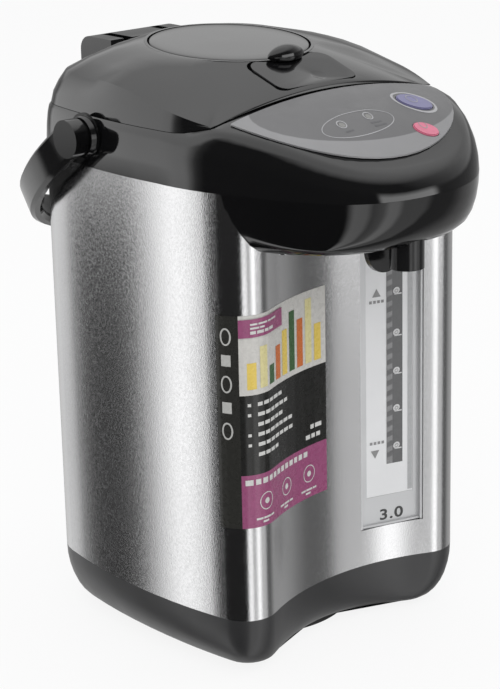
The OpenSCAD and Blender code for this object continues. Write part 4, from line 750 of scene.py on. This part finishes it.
def lay_from_above(piece, surface, lift):
    """Lets a flat shape down on a surface."""
    def place(p):
        hit = surface.ray_cast(Vector((p.x, p.y, 1.0)), Vector((0.0, 0.0, -1.0)))[0]
        return Vector((p.x, p.y, (hit.z if hit else p.z) + lift))

    move_points(piece, place)
    face_up(piece, Vector((0.0, 0.0, 1.0)))
    return piece


# across, back, half sizes, line width and turn in degrees
PANEL_RINGS = ((-0.0125, -0.0965, 0.0235, 0.0078, 0.00045, 0), (0.0352, -0.0876, 0.0119, 0.0086, 0.0014, -22))
LAMP_PLACES = ((-0.0223, -0.0948), (-0.0033, -0.0937))
LAMP_LEGENDS = ((-0.0212, -0.0998, 0.0050), (-0.0020, -0.0984, 0.0072), (-0.0008, -0.1006, 0.0080))
LEGEND_HALF = 0.0005
KEY_RINGS = (("blue_button", 0.0030), ("red_button", 0.0022))
KEY_INK = (0.28, 0.28, 0.28)


class POT_OT_panel(bpy.types.Operator):
    """Print the fine oval and the rings on the control panel"""
    bl_idname = "pot.panel"
    bl_label = "Panel prints"

    def execute(self, context):
        surface, lift = surface_of("control_fascia"), sizes().print_lift
        pale = print_ink("panel_line", (0.36, 0.36, 0.37))
        dark = print_ink("panel_dark", (0.09, 0.09, 0.095))
        shapes = []
        for x, y, a, b, width, turn in PANEL_RINGS:
            shapes.append((flat_ring("ring", x, y, a, b, width, math.radians(turn)), pale))
        for x, y in LAMP_PLACES:
            shapes.append((flat_ring("lamp", x, y, 0.0025, 0.0025, 0.0006, 0.0, 32), pale))
        for x, y, width in LAMP_LEGENDS:
            edges = (x - width / 2, x + width / 2, y - LEGEND_HALF, y + LEGEND_HALF)
            shapes.append((flat_grid("legend", *edges, 6, 2), dark))
        for piece, ink in shapes:
            paint(lay_from_above(piece, surface, lift), ink)
        prints = join([piece for piece, ink in shapes], "panel_prints")
        attach(prints, "control_fascia")
        for node, radius in KEY_RINGS:
            low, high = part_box(node)
            middle = (low + high) / 2
            ring = flat_ring(node + "_mark", middle.x, middle.y, radius, radius, 0.0005, 0.0, 32)
            lay_from_above(ring, surface_of(node), lift)
            attach(ring, node, print_ink(node + "_ink", KEY_INK))
        return {"FINISHED"}


# ---- studio ----

CAMERA_ANGLES = (-40.586, 17.666, -1.285)  # azimuth, elevation and roll in degrees
CAMERA_TARGET, CAMERA_DISTANCE, CAMERA_LENS = Vector((-0.003747, 0.0, 0.152759)), 1.17695, 111.73


def camera_axes(azimuth, elevation, roll):
    """Right, up and back directions of a camera that looks at the pot."""
    back = Vector((math.sin(azimuth) * math.cos(elevation), -math.cos(azimuth) * math.cos(elevation),
                   math.sin(elevation)))
    right = Vector((math.cos(azimuth), math.sin(azimuth), 0.0))
    up = back.cross(right)
    return (right * math.cos(roll) + up * math.sin(roll), up * math.cos(roll) - right * math.sin(roll), back)


def add_camera():
    right, up, back = camera_axes(*(math.radians(angle) for angle in CAMERA_ANGLES))
    data = bpy.data.cameras.new("view")
    data.lens = CAMERA_LENS
    data.sensor_width = 36.0
    camera = bpy.data.objects.new("view", data)
    bpy.context.scene.collection.objects.link(camera)
    turn = Matrix((right, up, back)).transposed().to_4x4()
    camera.matrix_world = Matrix.Translation(CAMERA_TARGET + back * CAMERA_DISTANCE) @ turn
    bpy.context.scene.camera = camera


def add_lamp(name, place, target, width, height, power):
    data = bpy.data.lights.new(name, "AREA")
    data.shape = "RECTANGLE"
    data.size, data.size_y = width, height
    data.energy = power
    lamp = bpy.data.objects.new(name, data)
    bpy.context.scene.collection.objects.link(lamp)
    lamp.location = place
    lamp.rotation_euler = (Vector(target) - Vector(place)).to_track_quat("-Z", "Y").to_euler()
    lamp.visible_glossy = False


# name, place, what it looks at, width, height and power
LAMPS = (
    ("key", (-1.4, -1.6, 2.2), (0.0, 0.0, 0.15), 1.6, 1.6, 26.0),
    ("fill", (1.8, -1.2, 1.6), (0.0, 0.0, 0.15), 1.6, 1.6, 12.0),
    ("top", (0.0, 0.6, 2.6), (0.0, 0.0, 0.2), 2.4, 2.4, 14.0))
TOP_LEVEL = 3.0
CEILING = 1.5
# the heights over which one zone of the room gives way to the next
LOW_EDGE, HIGH_EDGE, CEILING_EDGE = (-0.24, -0.14), (0.14, 0.26), (0.62, 0.85)
SOFT_LIGHT, WHITE = (0.62, 0.62, 0.63, 1.0), (1.0, 1.0, 1.0, 1.0)
# bearing in degrees and brightness: what upright shiny walls see round them
LOW_RING = ((-180, 0.02), (-120, 0.02), (-113, 1.6), (-102, 1.5), (-96, 0.6), (-86, 0.9), (-80, 1.8), (-72, 1.7),
            (-66, 0.75), (-47, 0.66), (-42, 0.17), (-26, 0.15), (-10, 0.4), (60, 0.6), (98, 0.95),
            (108, 0.85), (113, 0.06), (130, 0.05), (134, 0.2), (138, 0.95), (142, 1.7), (150, 1.7),
            (153, 0.25), (157, 0.02), (180, 0.02))
# level walls see windows beside them and a softbox in front of the beak
MIDDLE_RING = ((-180, 0.05), (-92, 0.05), (-88, 3.0), (-46, 3.0), (-42, 0.15), (10, 0.3), (90, 0.35),
               (100, 1.6), (118, 2.0), (150, 2.0), (155, 0.3), (159, 0.05), (180, 0.05))
# surfaces that lean back see the room behind
HIGH_RING = ((-180, 0.06), (-60, 0.08), (-30, 0.5), (0, 0.9), (90, 0.95), (110, 1.8), (150, 1.8), (156, 0.3),
             (162, 0.06), (180, 0.06))


def ring_of_light(tree, bearing, stops):
    """Brightness by bearing, as a share of the brightest level."""
    turn = span(tree, bearing, 0.0, 1.0, -math.pi, math.pi)
    return ramp(tree, turn, [((angle + 180) / 360, (level / TOP_LEVEL,) * 3) for angle, level in stops])


def studio_world():
    """White to the camera, plain soft light to matt surfaces, soft panels and dark flags to shiny ones."""
    world = bpy.data.worlds.new("studio")
    bpy.context.scene.world = world
    world.use_nodes = True
    tree = world.node_tree
    background = tree.nodes["Background"]
    coords = tree.nodes.new("ShaderNodeTexCoord")
    split = tree.nodes.new("ShaderNodeSeparateXYZ")
    tree.links.new(coords.outputs["Generated"], split.inputs["Vector"])
    turn = tree.nodes.new("ShaderNodeMath")
    turn.operation = "ARCTAN2"
    tree.links.new(split.outputs["Y"], turn.inputs[0])
    tree.links.new(split.outputs["X"], turn.inputs[1])
    low_ring = ring_of_light(tree, turn.outputs["Value"], LOW_RING)
    middle_ring = ring_of_light(tree, turn.outputs["Value"], MIDDLE_RING)
    high_ring = ring_of_light(tree, turn.outputs["Value"], HIGH_RING)
    lift = span(tree, split.outputs["Z"], 0.0, 1.0, *LOW_EDGE)
    raised = span(tree, split.outputs["Z"], 0.0, 1.0, *HIGH_EDGE)
    over = span(tree, split.outputs["Z"], 0.0, 1.0, *CEILING_EDGE)
    lower = blend_colour(tree, lift, low_ring, middle_ring)
    mixed = blend_colour(tree, raised, lower, high_ring)
    ceiling = blend_colour(tree, over, mixed, (CEILING / TOP_LEVEL,) * 3 + (1.0,))
    bright = tree.nodes.new("ShaderNodeVectorMath")
    bright.operation = "SCALE"
    bright.inputs["Scale"].default_value = TOP_LEVEL
    tree.links.new(ceiling, bright.inputs[0])
    path = tree.nodes.new("ShaderNodeLightPath")
    soft = blend_colour(tree, path.outputs["Is Glossy Ray"], SOFT_LIGHT, bright.outputs["Vector"])
    through = tree.nodes.new("ShaderNodeMath")
    through.operation = "MAXIMUM"
    tree.links.new(path.outputs["Is Camera Ray"], through.inputs[0])
    tree.links.new(path.outputs["Is Transmission Ray"], through.inputs[1])
    shown = blend_colour(tree, through.outputs["Value"], soft, WHITE)
    tree.links.new(shown, background.inputs["Color"])


def blend_colour(tree, factor, first, second):
    """Mixes two colours, each a socket or a fixed value."""
    node = tree.nodes.new("ShaderNodeMix")
    node.data_type = "RGBA"
    tree.links.new(factor, node.inputs["Factor"])
    for socket, value in ((node.inputs[6], first), (node.inputs[7], second)):
        if isinstance(value, bpy.types.NodeSocket):
            tree.links.new(value, socket)
        else:
            socket.default_value = value
    return node.outputs[2]


def floor_material():
    """Pale matt floor that stays white to the camera and keeps a light shadow."""
    material, tree, shader = new_material("pale_floor", (0.82, 0.82, 0.82), 0.8)
    tone = ramp(tree, object_pattern(tree, 6.0), [(0.3, (0.81, 0.81, 0.81)), (0.7, (0.83, 0.83, 0.83))])
    tree.links.new(tone, shader.inputs["Base Color"])
    glow = tree.nodes.new("ShaderNodeEmission")
    glow.inputs["Strength"].default_value = 1.0
    path = tree.nodes.new("ShaderNodeLightPath")
    share = span(tree, path.outputs["Is Camera Ray"], 0.0, 0.88, 0.0, 1.0)
    mix = tree.nodes.new("ShaderNodeMixShader")
    tree.links.new(share, mix.inputs["Fac"])
    tree.links.new(shader.outputs["BSDF"], mix.inputs[1])
    tree.links.new(glow.outputs["Emission"], mix.inputs[2])
    tree.links.new(mix.outputs["Shader"], tree.nodes["Material Output"].inputs["Surface"])
    return material


class POT_OT_stage(bpy.types.Operator):
    """Set up the floor, the soft light and the camera"""
    bl_idname = "pot.stage"
    bl_label = "Studio"

    def execute(self, context):
        context.scene.view_settings.view_transform = "Standard"
        bpy.ops.object.select_all(action="DESELECT")
        bpy.ops.mesh.primitive_circle_add(vertices=96, radius=6.0, fill_type="NGON", location=(0.0, 0.0, -0.0002))
        floor = settle(latest("studio_floor"))
        floor.data.materials.append(floor_material())
        floor.visible_glossy = False
        for lamp in LAMPS:
            add_lamp(*lamp)
        studio_world()
        add_camera()
        return {"FINISHED"}


class VIEW3D_PT_pot(bpy.types.Panel):
    """Buttons of the thermo pot"""
    bl_label = "Thermo pot"
    bl_idname = "VIEW3D_PT_pot"
    bl_space_type = "VIEW_3D"
    bl_region_type = "UI"
    bl_category = "Thermo pot"

    def draw(self, context):
        layout = self.layout
        for group in (context.scene.pot_sizes, context.scene.pot_colours):
            for name in group.__annotations__:
                layout.prop(group, name)
        for operator in OPERATORS:
            layout.operator(operator.bl_idname)


OPERATORS = (POT_OT_finishes, POT_OT_mouldings, POT_OT_keys, POT_OT_pump, POT_OT_label, POT_OT_gauge, POT_OT_panel,
             POT_OT_stage)
CLASSES = (PotSizes, PotColours, *OPERATORS, VIEW3D_PT_pot)


def register():
    for cls in CLASSES:
        bpy.utils.register_class(cls)
    bpy.types.Scene.pot_sizes = bpy.props.PointerProperty(type=PotSizes)
    bpy.types.Scene.pot_colours = bpy.props.PointerProperty(type=PotColours)


def unregister():
    del bpy.types.Scene.pot_sizes
    del bpy.types.Scene.pot_colours
    for cls in reversed(CLASSES):
        bpy.utils.unregister_class(cls)


def main():
    register()
    bpy.ops.pot.finishes()
    bpy.ops.pot.mouldings()
    bpy.ops.pot.keys()
    bpy.ops.pot.pump()
    bpy.ops.pot.label()
    bpy.ops.pot.gauge()
    bpy.ops.pot.panel()
    bpy.ops.pot.stage()


if __name__ == "__main__":
    main()
